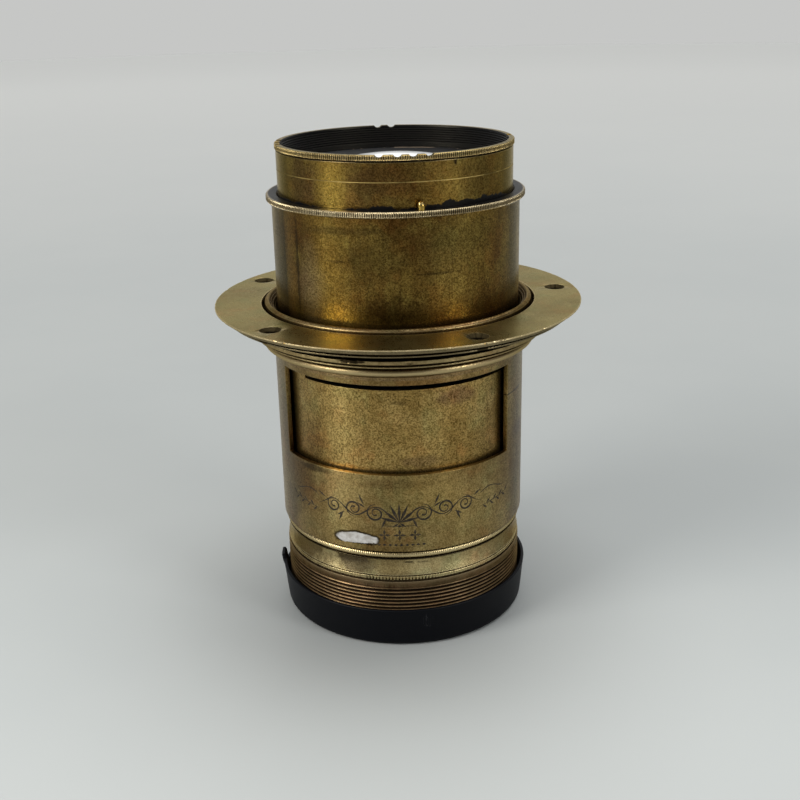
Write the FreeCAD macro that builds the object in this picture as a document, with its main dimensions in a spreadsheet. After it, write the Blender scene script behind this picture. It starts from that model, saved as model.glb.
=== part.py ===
import FreeCAD, Part
import os

import Sketcher

# A brass portrait lens standing front end down on its cap.
#
# Millimetres, +Z up, origin at the middle of the cap's base.  The optical axis is the Z axis and
# the rear of the lens is up.  Azimuths are measured about +Z from +X.

doc = FreeCAD.newDocument("portrait_lens")

# ---------------------------------------------------------------------------
# Driving dimensions
# ---------------------------------------------------------------------------

SIZES = {
    # fixed barrel
    "jacket_radius": 33.7,
    "guide_bore_radius": 32.5,
    "jacket_bottom": 28.1,
    "jacket_top": 76.2,
    "window_bottom": 49.8,
    "window_top": 73.9,
    "window_width_angle": 119.2,
    "window_azimuth": -93.2,
    "collar_top": 89.0,
    "collar_lip_radius": 35.75,
    "collar_thread_radius": 36.6,
    "collar_thread_top": 86.2,
    "moulding_bottom": 76.5,
    "moulding_bead_radius": 36.2,
    "moulding_ridge_radius": 38.7,
    "moulding_radius": 40.1,
    "moulding_top": 82.4,
    # mounting flange
    "flange_radius": 49.0,
    "flange_top": 88.0,
    "flange_edge": 0.35,
    "flange_step_radius": 47.6,
    "flange_seat": 85.0,
    "hub_radius": 45.2,
    "screw_circle_radius": 43.5,
    "screw_hole_radius": 1.6,
    "countersink_radius": 2.6,
    "first_screw_azimuth": -64.4,
    # sliding lens tube
    "slide_radius": 32.42,
    "tube_radius": 31.58,
    "tube_bore_radius": 30.6,
    "tube_bottom": 28.0,
    "tube_end": 94.0,
    "sleeve_bottom": 75.4,
    "sleeve_top": 115.4,
    "slot_bottom": 72.05,
    "slot_height": 2.2,
    "slot_angle": 180.0,
    "slot_azimuth": -51.0,
    "stop_guide_bore": 27.5,
    "stop_guide_thickness": 2.0,
    # front cell
    "front_end": 2.0,
    "thread_radius": 33.1,
    "thread_top": 18.9,
    "band_radius": 32.9,
    "band_waist": 0.35,
    "bead_radius": 33.2,
    "bead_bottom": 26.0,
    "front_bore_radius": 28.2,
    "front_glass_radius": 28.1,
    "front_glass_bottom": 6.4,
    "front_glass_top": 20.6,
    # rear mount and rear cell
    "knurl_radius": 33.8,
    "mount_top": 117.0,
    "mount_bottom": 95.0,
    "cell_radius": 30.65,
    "cell_tail_radius": 30.2,
    "cell_tail_bottom": 104.2,
    "cell_shoulder": 114.2,
    "cell_top": 129.8,
    "lip_radius": 30.9,
    "lip_height": 1.4,
    "cell_mouth_radius": 29.3,
    "rear_glass_radius": 27.3,
    "rear_glass_seat": 116.0,
    "rear_glass_apex": 126.02,
    "running_gap": 0.08,
    "notch_radius": 1.2,
    "notch_depth": 0.6,
    "pin_radius": 0.95,
    "pin_height": 2.1,
    "pin_circle_radius": 32.25,
    "pin_azimuth": -79.2,
    # cap
    "cap_foot_radius": 34.0,
    "cap_rim_radius": 35.05,
    "cap_wall": 0.95,
    "cap_floor": 1.7,
    "cap_rim": 11.2,
    "cap_rim_slope": 0.15,
    "lug_top": 12.3,
    "lug_lean": 0.55,
    "lug_azimuth": 181.0,
    "lug_angle": 8.0,
    "lug_gap_azimuth": 171.0,
    "lug_gap_angle": 12.0,
    "lug_gap_depth": 3.2,
}

sheet = doc.addObject("Spreadsheet::Sheet", "Sizes")
for row, (alias, value) in enumerate(SIZES.items(), start=1):
    sheet.set(f"A{row}", alias)
    sheet.set(f"B{row}", str(value))
    sheet.setAlias(f"B{row}", alias)
doc.recompute()


class Size:
    """A length that is known as a number and as the text that binds a property to the sheet."""

    def __init__(self, value, text):
        self.value = value
        self.text = text

    def _join(self, sign, other):
        if not isinstance(other, Size):
            other = Size(other, repr(other))
        value = self.value + other.value if sign == "+" else self.value - other.value
        return Size(value, f"{self.text} {sign} ({other.text})")

    def __add__(self, other):
        return self._join("+", other)

    def __sub__(self, other):
        return self._join("-", other)

    def __mul__(self, factor):
        return Size(self.value * factor, f"({self.text}) * {factor!r}")


def size(alias):
    """The named size, as the sheet holds it."""
    return Size(float(sheet.get(alias)), f"Sizes.{alias}")


class Bulge:
    """Makes the next stretch of an outline an arc that stands proud of its chord.

    A positive height bulges to the right of the direction of travel.
    """

    def __init__(self, height):
        self.height = height


# ---------------------------------------------------------------------------
# Sketches and features
# ---------------------------------------------------------------------------


def make_body(name):
    body = doc.addObject("PartDesign::Body", name)
    body.Label = name
    return body


def origin_feature(body, role):
    return next(f for f in body.Origin.OriginFeatures if f.Role == role)


def make_sketch(body, name, plane="XZ_Plane", azimuth=None):
    """A sketch on one of the body's own planes, turned about the Z axis if azimuth is given."""
    sketch = body.newObject("Sketcher::SketchObject", name)
    sketch.AttachmentSupport = [(origin_feature(body, plane), "")]
    sketch.MapMode = "FlatFace"
    if azimuth is not None:
        sketch.AttachmentOffset.Rotation = FreeCAD.Rotation(FreeCAD.Vector(0, 1, 0), 0)
        sketch.setExpression("AttachmentOffset.Rotation.Axis.y", "1")
        sketch.setExpression("AttachmentOffset.Rotation.Angle", azimuth.text)
    return sketch


def place_point(sketch, geometry, end, radius, height):
    """Ties one end of a line or arc to its place, both ways, from the sketch's origin."""
    for kind, axis, place in (("DistanceX", -2, radius), ("DistanceY", -1, height)):
        if place.value == 0:
            sketch.addConstraint(Sketcher.Constraint("PointOnObject", geometry, end, axis))
            continue
        index = sketch.addConstraint(Sketcher.Constraint(kind, -1, 1, geometry, end, place.value))
        sketch.setExpression(f"Constraints[{index}]", place.text)


def arc_between(start, end, bulge):
    """The arc from start to end whose middle stands out from the chord by bulge."""
    chord = end - start
    half = chord.Length / 2
    right = FreeCAD.Vector(chord.y, -chord.x, 0).normalize()
    middle = (start + end) / 2 + right * bulge
    radius = (half * half + bulge * bulge) / (2 * abs(bulge))
    return Part.Arc(start, middle, end), radius


def draw_outline(sketch, outline):
    """Draws a closed outline of (radius, height) corners, with Bulge items before an arc's end."""
    corners = [item for item in outline if not isinstance(item, Bulge)]
    bulges = {}
    for item, following in zip(outline, outline[1:] + outline[:1]):
        if isinstance(item, Bulge):
            bulges[corners.index(following)] = item.height
    points = [FreeCAD.Vector(r.value, z.value, 0) for r, z in corners]
    last = len(points) - 1
    for index, point in enumerate(points):
        following = 0 if index == last else index + 1
        target = points[following]
        if following in bulges:
            arc, radius = arc_between(point, target, bulges[following])
            edge = sketch.addGeometry(arc, False)
            arc_start = sketch.getPoint(edge, 1)
            first_end = 1 if arc_start.distanceToPoint(point) < arc_start.distanceToPoint(target) else 2
            sketch.addConstraint(Sketcher.Constraint("Radius", edge, radius))
        else:
            edge = sketch.addGeometry(Part.LineSegment(point, target), False)
            first_end = 1
        ends = (first_end, 3 - first_end)
        place_point(sketch, edge, ends[0], *corners[index])
        if index > 0:
            sketch.addConstraint(Sketcher.Constraint("Coincident", previous, previous_end, edge, ends[0]))
        else:
            opening = (edge, ends[0])
        previous, previous_end = edge, ends[1]
    sketch.addConstraint(Sketcher.Constraint("Coincident", previous, previous_end, *opening))


def revolve(body, outline, name="Turned"):
    """A full turn of the outline about the Z axis."""
    sketch = make_sketch(body, name + "Outline")
    draw_outline(sketch, outline)
    turned = body.newObject("PartDesign::Revolution", name)
    turned.Profile = sketch
    turned.ReferenceAxis = (sketch, ["V_Axis"])
    turned.Angle = 360
    return turned


def turned_body(name, outline):
    body = make_body(name)
    revolve(body, outline)
    return body


def arc_feature(body, kind, name, outline, angle, azimuth):
    """A Revolution or Groove over part of a turn, with its middle at azimuth."""
    sketch = make_sketch(body, name + "Outline", azimuth=azimuth)
    draw_outline(sketch, outline)
    feature = body.newObject(kind, name)
    feature.Profile = sketch
    feature.ReferenceAxis = (sketch, ["V_Axis"])
    feature.Midplane = True
    feature.setExpression("Angle", angle.text)
    return feature


def rectangle(inner, outer, bottom, top):
    return [(inner, bottom), (outer, bottom), (outer, top), (inner, top)]


# ---------------------------------------------------------------------------
# Fixed barrel
# ---------------------------------------------------------------------------


def make_jacket_tube():
    jacket, bore = size("jacket_radius"), size("guide_bore_radius")
    body = turned_body("jacket_tube", rectangle(bore, jacket, size("jacket_bottom"), size("jacket_top")))
    window = rectangle(bore - 1, jacket + 1, size("window_bottom"), size("window_top"))
    arc_feature(
        body, "PartDesign::Groove", "Window", window, size("window_width_angle"), size("window_azimuth")
    )
    return body


def make_jacket_collar():
    bore, jacket = size("guide_bore_radius"), size("jacket_radius")
    bead, ridge, crown = size("moulding_bead_radius"), size("moulding_ridge_radius"), size("moulding_radius")
    base, brim = size("moulding_bottom"), size("moulding_top")
    lip, top = size("collar_lip_radius"), size("collar_top")
    thread, thread_top = size("collar_thread_radius"), size("collar_thread_top")
    return turned_body(
        "jacket_collar",
        [
            (bore, size("jacket_top")),
            (jacket, size("jacket_top")),
            (jacket, base),
            (bead - 0.3, base + 0.5),
            (bead, base + 0.7),
            Bulge(0.6),
            (bead - 0.2, base + 2.65),
            (bead - 0.8, base + 2.9),
            Bulge(-0.3),
            (ridge, base + 3.6),
            (ridge, base + 3.95),
            (ridge - 0.4, base + 4.2),
            Bulge(-0.2),
            (crown - 0.4, brim - 1.15),
            (crown, brim - 0.9),
            (crown, brim - 0.1),
            (crown - 0.1, brim),
            (thread - 0.7, brim),
            (thread - 0.7, brim + 0.9),
            (thread, brim + 1.3),
            (thread, thread_top),
            (lip, thread_top + 0.3),
            (lip, top - 0.6),
            Bulge(0.15),
            (lip - 0.9, top),
            (bore + 2.0, top - 0.3),
            (bore, top - 2.1),
        ],
    )


def make_mounting_flange():
    bore, rim = size("collar_thread_radius"), size("flange_radius")
    seat, top = size("flange_seat"), size("flange_top")
    hub, step, edge = size("hub_radius"), size("flange_step_radius"), size("flange_edge")
    body = turned_body(
        "mounting_flange",
        [
            (bore, seat),
            (hub, seat),
            (hub + 0.7, seat + 0.15),
            (hub + 0.7, seat + 0.5),
            (hub + 0.1, seat + 0.7),
            (hub + 0.1, seat + 1.4),
            (step - 0.1, seat + 1.5),
            (step, seat + 1.6),
            (step, seat + 2.2),
            (step - 0.6, top - edge - 0.15),
            (rim, top - edge),
            (rim, top - 0.1),
            (rim - 0.1, top),
            (bore, top),
        ],
    )
    pitch, hole, sink = size("screw_circle_radius"), size("screw_hole_radius"), size("countersink_radius")
    sketch = make_sketch(body, "ScrewHoleOutline", azimuth=size("first_screw_azimuth"))
    below, above = seat - 1, top + 1
    draw_outline(
        sketch,
        [
            (pitch, below),
            (pitch + hole, below),
            (pitch + hole, top - sink + hole),
            (pitch + sink, top),
            (pitch + sink, above),
            (pitch, above),
        ],
    )
    axis = sketch.addGeometry(
        Part.LineSegment(
            FreeCAD.Vector(pitch.value, below.value, 0), FreeCAD.Vector(pitch.value, above.value, 0)
        ),
        True,
    )
    place_point(sketch, axis, 1, pitch, below)
    place_point(sketch, axis, 2, pitch, above)
    screw_hole = body.newObject("PartDesign::Groove", "ScrewHole")
    screw_hole.Profile = sketch
    screw_hole.ReferenceAxis = (sketch, ["Axis0"])
    screw_hole.Angle = 360
    doc.recompute()
    pattern = body.newObject("PartDesign::PolarPattern", "ScrewHoles")
    pattern.Originals = [screw_hole]
    pattern.Axis = (origin_feature(body, "Z_Axis"), [""])
    pattern.Angle = 360
    pattern.Occurrences = 5
    body.Tip = pattern
    return body


# ---------------------------------------------------------------------------
# Sliding lens tube
# ---------------------------------------------------------------------------

GUIDE_RING_HEIGHT = 9.0


def make_lens_tube():
    slide, tube, bore = size("slide_radius"), size("tube_radius"), size("tube_bore_radius")
    body = turned_body("lens_tube", rectangle(bore, tube, size("tube_bottom"), size("tube_end")))
    slot_top = size("slot_bottom") + size("slot_height")
    slot = rectangle(bore - 1, slide + 1, size("slot_bottom"), slot_top)
    arc_feature(body, "PartDesign::Groove", "StopSlot", slot, size("slot_angle"), size("slot_azimuth"))
    return body


def make_rear_sleeve():
    """The guide sleeve over the rear half of the lens tube, which also carries the rear mount."""
    tube, slide = size("tube_radius"), size("slide_radius")
    bottom, top = size("sleeve_bottom"), size("sleeve_top")
    outline = [(tube, bottom), (slide - 0.5, bottom), (slide, bottom + 0.5), (slide, top), (tube, top)]
    return turned_body("rear_sleeve", outline)


def make_front_guide_ring():
    bottom = size("tube_bottom") + 0.2
    ring = rectangle(size("tube_radius"), size("slide_radius"), bottom, bottom + GUIDE_RING_HEIGHT)
    return turned_body("front_guide_ring", ring)


def make_stop_guides():
    bore, tube_bore = size("stop_guide_bore"), size("tube_bore_radius")
    thickness = size("stop_guide_thickness")
    slot_bottom = size("slot_bottom")
    slot_top = slot_bottom + size("slot_height")
    return [
        turned_body("stop_guide_front", rectangle(bore, tube_bore, slot_bottom - thickness, slot_bottom)),
        turned_body("stop_guide_rear", rectangle(bore, tube_bore, slot_top, slot_top + thickness)),
    ]


def make_front_cell():
    thread, band, bead = size("thread_radius"), size("band_radius"), size("bead_radius")
    end, thread_top, bead_bottom = size("front_end"), size("thread_top"), size("bead_bottom")
    bore, glass_top, top = size("front_bore_radius"), size("front_glass_top"), size("tube_bottom")
    tube_bore, guide = size("tube_bore_radius"), size("slide_radius")
    return turned_body(
        "front_cell",
        [
            (bore, end),
            (thread - 0.5, end),
            (thread, end + 0.5),
            (thread, thread_top),
            (band - 0.4, thread_top),
            (band - 0.4, thread_top + 0.5),
            (band, thread_top + 0.6),
            (band, thread_top + 1.45),
            (band - 0.3, thread_top + 1.55),
            (band - 0.3, thread_top + 1.75),
            (band, thread_top + 1.85),
            Bulge(-size("band_waist").value),
            (band, bead_bottom - 0.45),
            (band - 0.4, bead_bottom - 0.25),
            (band - 0.4, bead_bottom),
            (bead - 0.4, bead_bottom),
            Bulge(0.4),
            (bead - 0.4, bead_bottom + 1.5),
            (guide - 0.2, bead_bottom + 1.6),
            (guide - 0.2, top),
            (tube_bore, top),
            (tube_bore, top + 5),
            (tube_bore - 1.2, top + 5),
            (tube_bore - 1.2, top - 4),
            (bore - 1.6, top - 6),
            (bore - 1.6, glass_top + 0.3),
            (bore, glass_top + 0.3),
        ],
    )


def bulging_up(apex, sphere_radius):
    """The face of a sphere whose highest point is at the apex."""
    return (apex - sphere_radius, sphere_radius)


def bulging_down(apex, sphere_radius):
    """The face of a sphere whose lowest point is at the apex."""
    return (apex + sphere_radius, sphere_radius)


def lens_element(name, radius, bottom, top, keep_inside=(), cut_away=()):
    """A glass disc whose faces are spheres, each given as (centre height, sphere radius)."""
    disc = doc.addObject("Part::Cylinder", name + "_blank")
    disc.setExpression("Radius", radius.text)
    disc.setExpression("Height", f"({top.text}) - ({bottom.text})")
    disc.setExpression("Placement.Base.z", bottom.text)
    shape = disc
    faces = [("Part::Common", face) for face in keep_inside] + [("Part::Cut", face) for face in cut_away]
    for number, (kind, (centre, sphere_radius)) in enumerate(faces, start=1):
        ball = doc.addObject("Part::Sphere", f"{name}_face{number}")
        ball.Radius = sphere_radius
        ball.setExpression("Placement.Base.z", centre.text)
        step = doc.addObject(kind, f"{name}_step{number}")
        step.Base, step.Tool = shape, ball
        shape = step
    shape.Label = name
    return shape


def make_front_doublet():
    """Cemented pair: a crown that faces out, below, and a flint behind it."""
    radius, bottom, top = size("front_glass_radius"), size("front_glass_bottom"), size("front_glass_top")
    outer_face = bulging_down(bottom, 90.0)
    cemented_face = bulging_up(bottom + 11.0, 75.0)
    inner_face = bulging_down(top - 1.2, 260.0)
    crown = lens_element("front_crown", radius, bottom, top, keep_inside=(outer_face, cemented_face))
    flint = lens_element("front_flint", radius, bottom, top, cut_away=(cemented_face, inner_face))
    return [crown, flint]


def make_front_retaining_ring():
    bottom, bore = size("front_end") + 0.8, size("front_bore_radius")
    glass_edge = size("front_glass_bottom") + 4.2
    return turned_body(
        "front_retaining_ring",
        [
            (bore - 1.9, bottom + 0.4),
            (bore, bottom),
            (bore, glass_edge),
            (bore - 0.7, glass_edge),
            (bore - 1.9, bottom + 3.2),
        ],
    )


def make_rear_mount():
    knurl, outer = size("knurl_radius"), size("tube_radius")
    seat, top, bottom = size("sleeve_top"), size("mount_top"), size("mount_bottom")
    gap = size("running_gap")
    tail_bore, cell_bore = size("cell_tail_radius") + gap, size("cell_radius") + gap
    shoulder, glass = size("cell_shoulder") - 0.2, size("rear_glass_radius") + 0.1
    return turned_body(
        "rear_mount",
        [
            (glass - 1.7, bottom),
            (outer, bottom),
            (outer, seat),
            (knurl - 0.3, seat),
            (knurl, seat + 0.3),
            (knurl, top - 0.3),
            (knurl - 0.3, top),
            (cell_bore + 0.4, top),
            (cell_bore, top - 0.4),
            (cell_bore, shoulder),
            (tail_bore, shoulder),
            (tail_bore, bottom + 8.4),
            (glass, bottom + 8.4),
            (glass, bottom + 1.2),
            (glass - 1.7, bottom + 1.2),
        ],
    )


def make_index_pin():
    body = make_body("index_pin")
    sketch = make_sketch(body, "PinSection", plane="XY_Plane")
    ring, azimuth = size("pin_circle_radius"), size("pin_azimuth")
    circle = sketch.addGeometry(Part.Circle(FreeCAD.Vector(1, -1, 0), FreeCAD.Vector(0, 0, 1), 1), False)
    along_x = sketch.addConstraint(Sketcher.Constraint("DistanceX", -1, 1, circle, 3, 1))
    along_y = sketch.addConstraint(Sketcher.Constraint("DistanceY", circle, 3, -1, 1, 1))
    section = sketch.addConstraint(Sketcher.Constraint("Radius", circle, 1))
    turn = f"{azimuth.text} * 1 deg"
    sketch.setExpression(f"Constraints[{along_x}]", f"{ring.text} * cos({turn})")
    sketch.setExpression(f"Constraints[{along_y}]", f"-{ring.text} * sin({turn})")
    sketch.setExpression(f"Constraints[{section}]", size("pin_radius").text)
    sketch.setExpression("AttachmentOffset.Base.z", size("mount_top").text)
    pin = body.newObject("PartDesign::Pad", "Pin")
    pin.Profile = sketch
    pin.setExpression("Length", size("pin_height").text)
    return body


def make_rear_crown():
    """Biconvex inner glass of the rear pair."""
    radius, bottom = size("rear_glass_radius"), size("mount_bottom") - 2.5
    top = bottom + 8.0
    faces = (bulging_down(bottom, 90.0), bulging_up(top, 140.0))
    return lens_element("rear_crown", radius, bottom, top, keep_inside=faces)


def make_rear_crown_ring():
    glass, bottom = size("rear_glass_radius") + 0.1, size("mount_bottom") + 1.2
    return turned_body(
        "rear_crown_ring", rectangle(glass - 1.9, glass, bottom + 2.2, bottom + 4.2)
    )


# ---------------------------------------------------------------------------
# Rear adjusting cell
# ---------------------------------------------------------------------------

# Each quarter turn of the cell is read from its own group of rim notches.
NOTCH_AZIMUTHS = {
    "one": [4.6],
    "two": [91.5, 98.7],
    "three": [177.0, 184.6, 192.2],
    "four": [-97.2, -88.7, -81.5, -74.1],
}


def make_rear_cell():
    cell, tail, mouth = size("cell_radius"), size("cell_tail_radius"), size("cell_mouth_radius")
    lip, top, lip_height = size("lip_radius"), size("cell_top"), size("lip_height")
    shoulder, bottom = size("cell_shoulder"), size("cell_tail_bottom")
    glass, seat = size("rear_glass_radius") + 0.1, size("rear_glass_seat")
    body = turned_body(
        "rear_cell",
        [
            (glass - 1.2, bottom),
            (tail, bottom),
            (tail, shoulder),
            (cell, shoulder),
            (cell, top - lip_height - 0.3),
            (cell - 0.25, top - lip_height - 0.2),
            (cell - 0.25, top - lip_height),
            (lip, top - lip_height + 0.1),
            (lip, top - 0.2),
            (lip - 0.2, top),
            (mouth, top),
            (mouth, top - 8.6),
            (glass, top - 8.6),
            (glass, seat),
            (glass - 1.2, seat),
        ],
    )
    notch, depth = size("notch_radius"), size("notch_depth")
    for group, azimuths in NOTCH_AZIMUTHS.items():
        for number, azimuth in enumerate(azimuths, start=1):
            name = f"Notch_{group}_{number}"
            # The XZ plane faces -Y, so a sketch turned by azimuth + 90 faces along that azimuth.
            sketch = make_sketch(body, name + "Section", azimuth=Size(azimuth + 90, repr(azimuth + 90)))
            height = top - depth + notch
            centre = FreeCAD.Vector(0, height.value, 0)
            circle = sketch.addGeometry(Part.Circle(centre, FreeCAD.Vector(0, 0, 1), notch.value), False)
            sketch.addConstraint(Sketcher.Constraint("PointOnObject", circle, 3, -2))
            up = sketch.addConstraint(Sketcher.Constraint("DistanceY", -1, 1, circle, 3, height.value))
            across = sketch.addConstraint(Sketcher.Constraint("Radius", circle, notch.value))
            sketch.setExpression(f"Constraints[{up}]", height.text)
            sketch.setExpression(f"Constraints[{across}]", notch.text)
            cut = body.newObject("PartDesign::Pocket", name)
            cut.Profile = sketch
            cut.Reversed = True
            cut.setExpression("Length", (lip + 2).text)
    return body


def make_rear_flint():
    """Outer glass of the rear pair: a meniscus that is domed towards the rear."""
    radius, seat, apex = size("rear_glass_radius"), size("rear_glass_seat"), size("rear_glass_apex")
    return lens_element(
        "rear_flint",
        radius,
        seat,
        apex,
        keep_inside=(bulging_up(apex, 70.0),),
        cut_away=(bulging_up(apex - 3.5, 60.0),),
    )


def make_rear_retaining_ring():
    """A ring that clears the dome of the glass by a tenth and screws into the mouth of the cell."""
    glass, outer = size("rear_glass_radius"), size("cell_mouth_radius") - 0.1
    edge = size("rear_glass_apex") - 5.44
    seat = size("cell_top") - 8.5
    return turned_body(
        "rear_retaining_ring",
        [
            (glass - 1.9, edge + 0.77),
            (glass, edge),
            (glass, seat),
            (outer, seat),
            (outer, seat + 2.5),
            (outer - 0.6, seat + 2.5),
            (glass - 1.9, edge + 1.22),
        ],
    )


# ---------------------------------------------------------------------------
# Cap
# ---------------------------------------------------------------------------


def make_front_cap():
    """A thin moulded cup with one small lug for a fingernail and a gap in the rim beside it."""
    zero = Size(0.0, "0")
    foot, rim, wall = size("cap_foot_radius"), size("cap_rim_radius"), size("cap_wall")
    floor, tall = size("cap_floor"), size("lug_top")
    body = turned_body(
        "front_cap",
        [
            (zero, zero),
            (foot - 1.6, zero),
            Bulge(0.47),
            (foot, zero + 1.6),
            (rim, tall),
            (rim - wall, tall),
            (foot - wall, floor),
            (zero, floor),
        ],
    )
    reach = rim + 5
    rise = size("cap_rim_slope")
    left, right, over = size("cap_rim") - rise, size("cap_rim") + rise, tall + 5
    sketch = make_sketch(body, "TrimOutline")
    corners = [(-1, left), (1, right), (1, over), (-1, over)]
    points = [FreeCAD.Vector(side * reach.value, height.value, 0) for side, height in corners]
    for index, (side, height) in enumerate(corners):
        edge = sketch.addGeometry(Part.LineSegment(points[index], points[(index + 1) % 4]), False)
        ends = (-1, 1, edge, 1) if side > 0 else (edge, 1, -1, 1)
        across = sketch.addConstraint(Sketcher.Constraint("DistanceX", *ends, reach.value))
        up = sketch.addConstraint(Sketcher.Constraint("DistanceY", -1, 1, edge, 1, height.value))
        sketch.setExpression(f"Constraints[{across}]", reach.text)
        sketch.setExpression(f"Constraints[{up}]", height.text)
    for index in range(4):
        sketch.addConstraint(Sketcher.Constraint("Coincident", index, 2, (index + 1) % 4, 1))
    trim = body.newObject("PartDesign::Pocket", "RimTrim")
    trim.Profile = sketch
    trim.Midplane = True
    trim.setExpression("Length", (reach * 2).text)
    gap = rectangle(rim - 3, rim + 1, size("cap_rim") - size("lug_gap_depth"), tall)
    gap_angle, gap_azimuth = size("lug_gap_angle"), size("lug_gap_azimuth")
    arc_feature(body, "PartDesign::Groove", "LugGap", gap, gap_angle, gap_azimuth)
    root, lean = size("cap_rim") - 3, size("lug_lean")
    lug = [
        (rim - wall - 0.05, root),
        (rim - 0.1, root),
        (rim + lean, tall),
        (rim + lean - wall, tall),
    ]
    arc_feature(body, "PartDesign::Revolution", "Lug", lug, size("lug_angle"), size("lug_azimuth"))
    return body


# ---------------------------------------------------------------------------
# Build, check and write
# ---------------------------------------------------------------------------

PARTS = [
    make_jacket_tube(),
    make_jacket_collar(),
    make_mounting_flange(),
    make_lens_tube(),
    make_rear_sleeve(),
    make_front_guide_ring(),
    *make_stop_guides(),
    make_front_cell(),
    *make_front_doublet(),
    make_front_retaining_ring(),
    make_rear_mount(),
    make_index_pin(),
    make_rear_crown(),
    make_rear_crown_ring(),
    make_rear_cell(),
    make_rear_flint(),
    make_rear_retaining_ring(),
    make_front_cap(),
]
doc.recompute()

for item in doc.Objects:
    if {"Invalid", "Error"} & set(item.State):
        raise RuntimeError(f"{item.Label} did not compute: {item.State}")
for part in PARTS:
    if part.Shape.isNull() or not part.Shape.isValid() or len(part.Shape.Solids) != 1:
        raise RuntimeError(f"{part.Label} is not one valid solid")

os.makedirs("parts", exist_ok=True)
for part in PARTS:
    part.Shape.exportStep(f"parts/{part.Label}.step")
    box = part.Shape.BoundBox
    print(f"{part.Label:22s} volume {part.Shape.Volume:9.1f}  z {box.ZMin:7.2f} to {box.ZMax:7.2f}")
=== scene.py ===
"""A brass portrait lens, standing on its front cap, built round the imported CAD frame.

Lengths in the shapes below are millimetres. A bearing is an angle about the optical axis in
degrees, 0 towards the camera side (-Y) and positive towards +X.
"""
import math

import bmesh
import bpy
import numpy as np
from mathutils import Matrix, Vector


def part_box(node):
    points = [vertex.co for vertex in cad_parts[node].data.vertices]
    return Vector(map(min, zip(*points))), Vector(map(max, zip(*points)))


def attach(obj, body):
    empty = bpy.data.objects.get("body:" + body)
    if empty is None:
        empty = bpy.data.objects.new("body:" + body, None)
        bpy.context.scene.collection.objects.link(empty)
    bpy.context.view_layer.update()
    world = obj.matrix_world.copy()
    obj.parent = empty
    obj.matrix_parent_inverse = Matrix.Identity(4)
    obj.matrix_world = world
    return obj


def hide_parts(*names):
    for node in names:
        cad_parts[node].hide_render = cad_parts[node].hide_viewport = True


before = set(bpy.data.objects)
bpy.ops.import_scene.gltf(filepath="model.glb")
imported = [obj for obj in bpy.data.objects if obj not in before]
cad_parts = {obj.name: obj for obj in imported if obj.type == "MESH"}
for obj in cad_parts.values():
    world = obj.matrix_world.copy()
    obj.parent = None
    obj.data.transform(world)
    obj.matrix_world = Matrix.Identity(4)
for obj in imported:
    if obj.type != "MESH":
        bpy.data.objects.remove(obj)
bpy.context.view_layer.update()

MM = 0.001
TURN = 2 * math.pi
SIZE_SLACK = 0.12                      # mm that a modelled piece may stand off its CAD node's box


def bearing_of(azimuth):
    """A CAD azimuth, which runs from +X, as a bearing."""
    return azimuth + 90


# Sizes that shapes and finishes share, in millimetres and degrees.
JACKET_SKIN = 33.7
SCREW_CIRCLE, FIRST_SCREW, SCREW_STEP = 43.5, bearing_of(-64.4), 72
MOUNT_RIM, CELL_LIP, TOOTH = 33.8, 30.9, 0.24
THREAD_CREST = 33.1


# ---------------------------------------------------------------- sections and turned pieces

def bow_points(start, end, height):
    """Points strictly between start and end on an arc that stands `height` to the right of travel."""
    a, b = np.array(start[:2], float), np.array(end[:2], float)
    chord = b - a
    length = np.hypot(*chord)
    along = chord / length
    right = np.array([along[1], -along[0]])
    half = 2 * math.atan(2 * height / length)
    radius = length / (2 * math.sin(half))
    count = max(5, int(length / 0.3))
    turns = np.linspace(-half, half, count + 2)[1:-1]
    middle = (a + b) / 2
    return [tuple(middle + along * radius * math.sin(t) + right * radius * (math.cos(t) - math.cos(half)))
            for t in turns]


ROUNDED_FROM = math.radians(14)        # a gentler corner than this isn't rounded
TRIM_SHARE = 0.42                      # the share of an edge that one rounded corner may use
LONG_EDGE, GUARD = 0.6, 0.2            # a longer edge gets a point this near to each rounded corner


def section(outline, fillet):
    """A closed (r, z) section with rounded corners, and how worn (+1) or sheltered (-1) each point is.

    An outline holds points (r, z) or (r, z, own fillet), and a bare number between two points bows
    the edge between them, outwards where the outline runs upwards on the outside.
    """
    raw = []
    for i, item in enumerate(outline):
        if isinstance(item, tuple):
            raw.append((item[0], item[1], item[2] if len(item) > 2 else fillet))
        else:
            raw += [(r, z, 0) for r, z in bow_points(raw[-1], outline[(i + 1) % len(outline)], item)]
    points = np.array([p[:2] for p in raw])
    following = np.roll(points, -1, 0)
    area = np.sum(points[:, 0] * following[:, 1] - following[:, 0] * points[:, 1])
    result, edge = [], []
    for i, (_, _, round_off) in enumerate(raw):
        here, before, after = points[i], points[i - 1], following[i]
        back, ahead = before - here, after - here
        to_back, to_ahead = np.hypot(*back), np.hypot(*ahead)
        back, ahead = back / to_back, ahead / to_ahead
        cross = -back[0] * ahead[1] + back[1] * ahead[0]
        turn = math.acos(max(-1, min(1, -back @ ahead)))
        if round_off <= 0 or turn < ROUNDED_FROM:
            result.append(here)
            edge.append(0)
            continue
        trim = min(round_off * math.tan(turn / 2), TRIM_SHARE * to_back, TRIM_SHARE * to_ahead)
        kind = 1 if cross * area > 0 else -1
        if to_back > 6 * trim + LONG_EDGE:
            result.append(here + back * (trim + GUARD))
            edge.append(0)
        for t in np.linspace(0, 1, 4 if trim > 0.05 else 3):
            result.append(here + back * trim * (1 - t) ** 2 + ahead * trim * t ** 2)
            edge.append(kind)
        if to_ahead > 6 * trim + LONG_EDGE:
            result.append(here + ahead * (trim + GUARD))
            edge.append(0)
    return np.array(result), np.array(edge, float)


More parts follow.
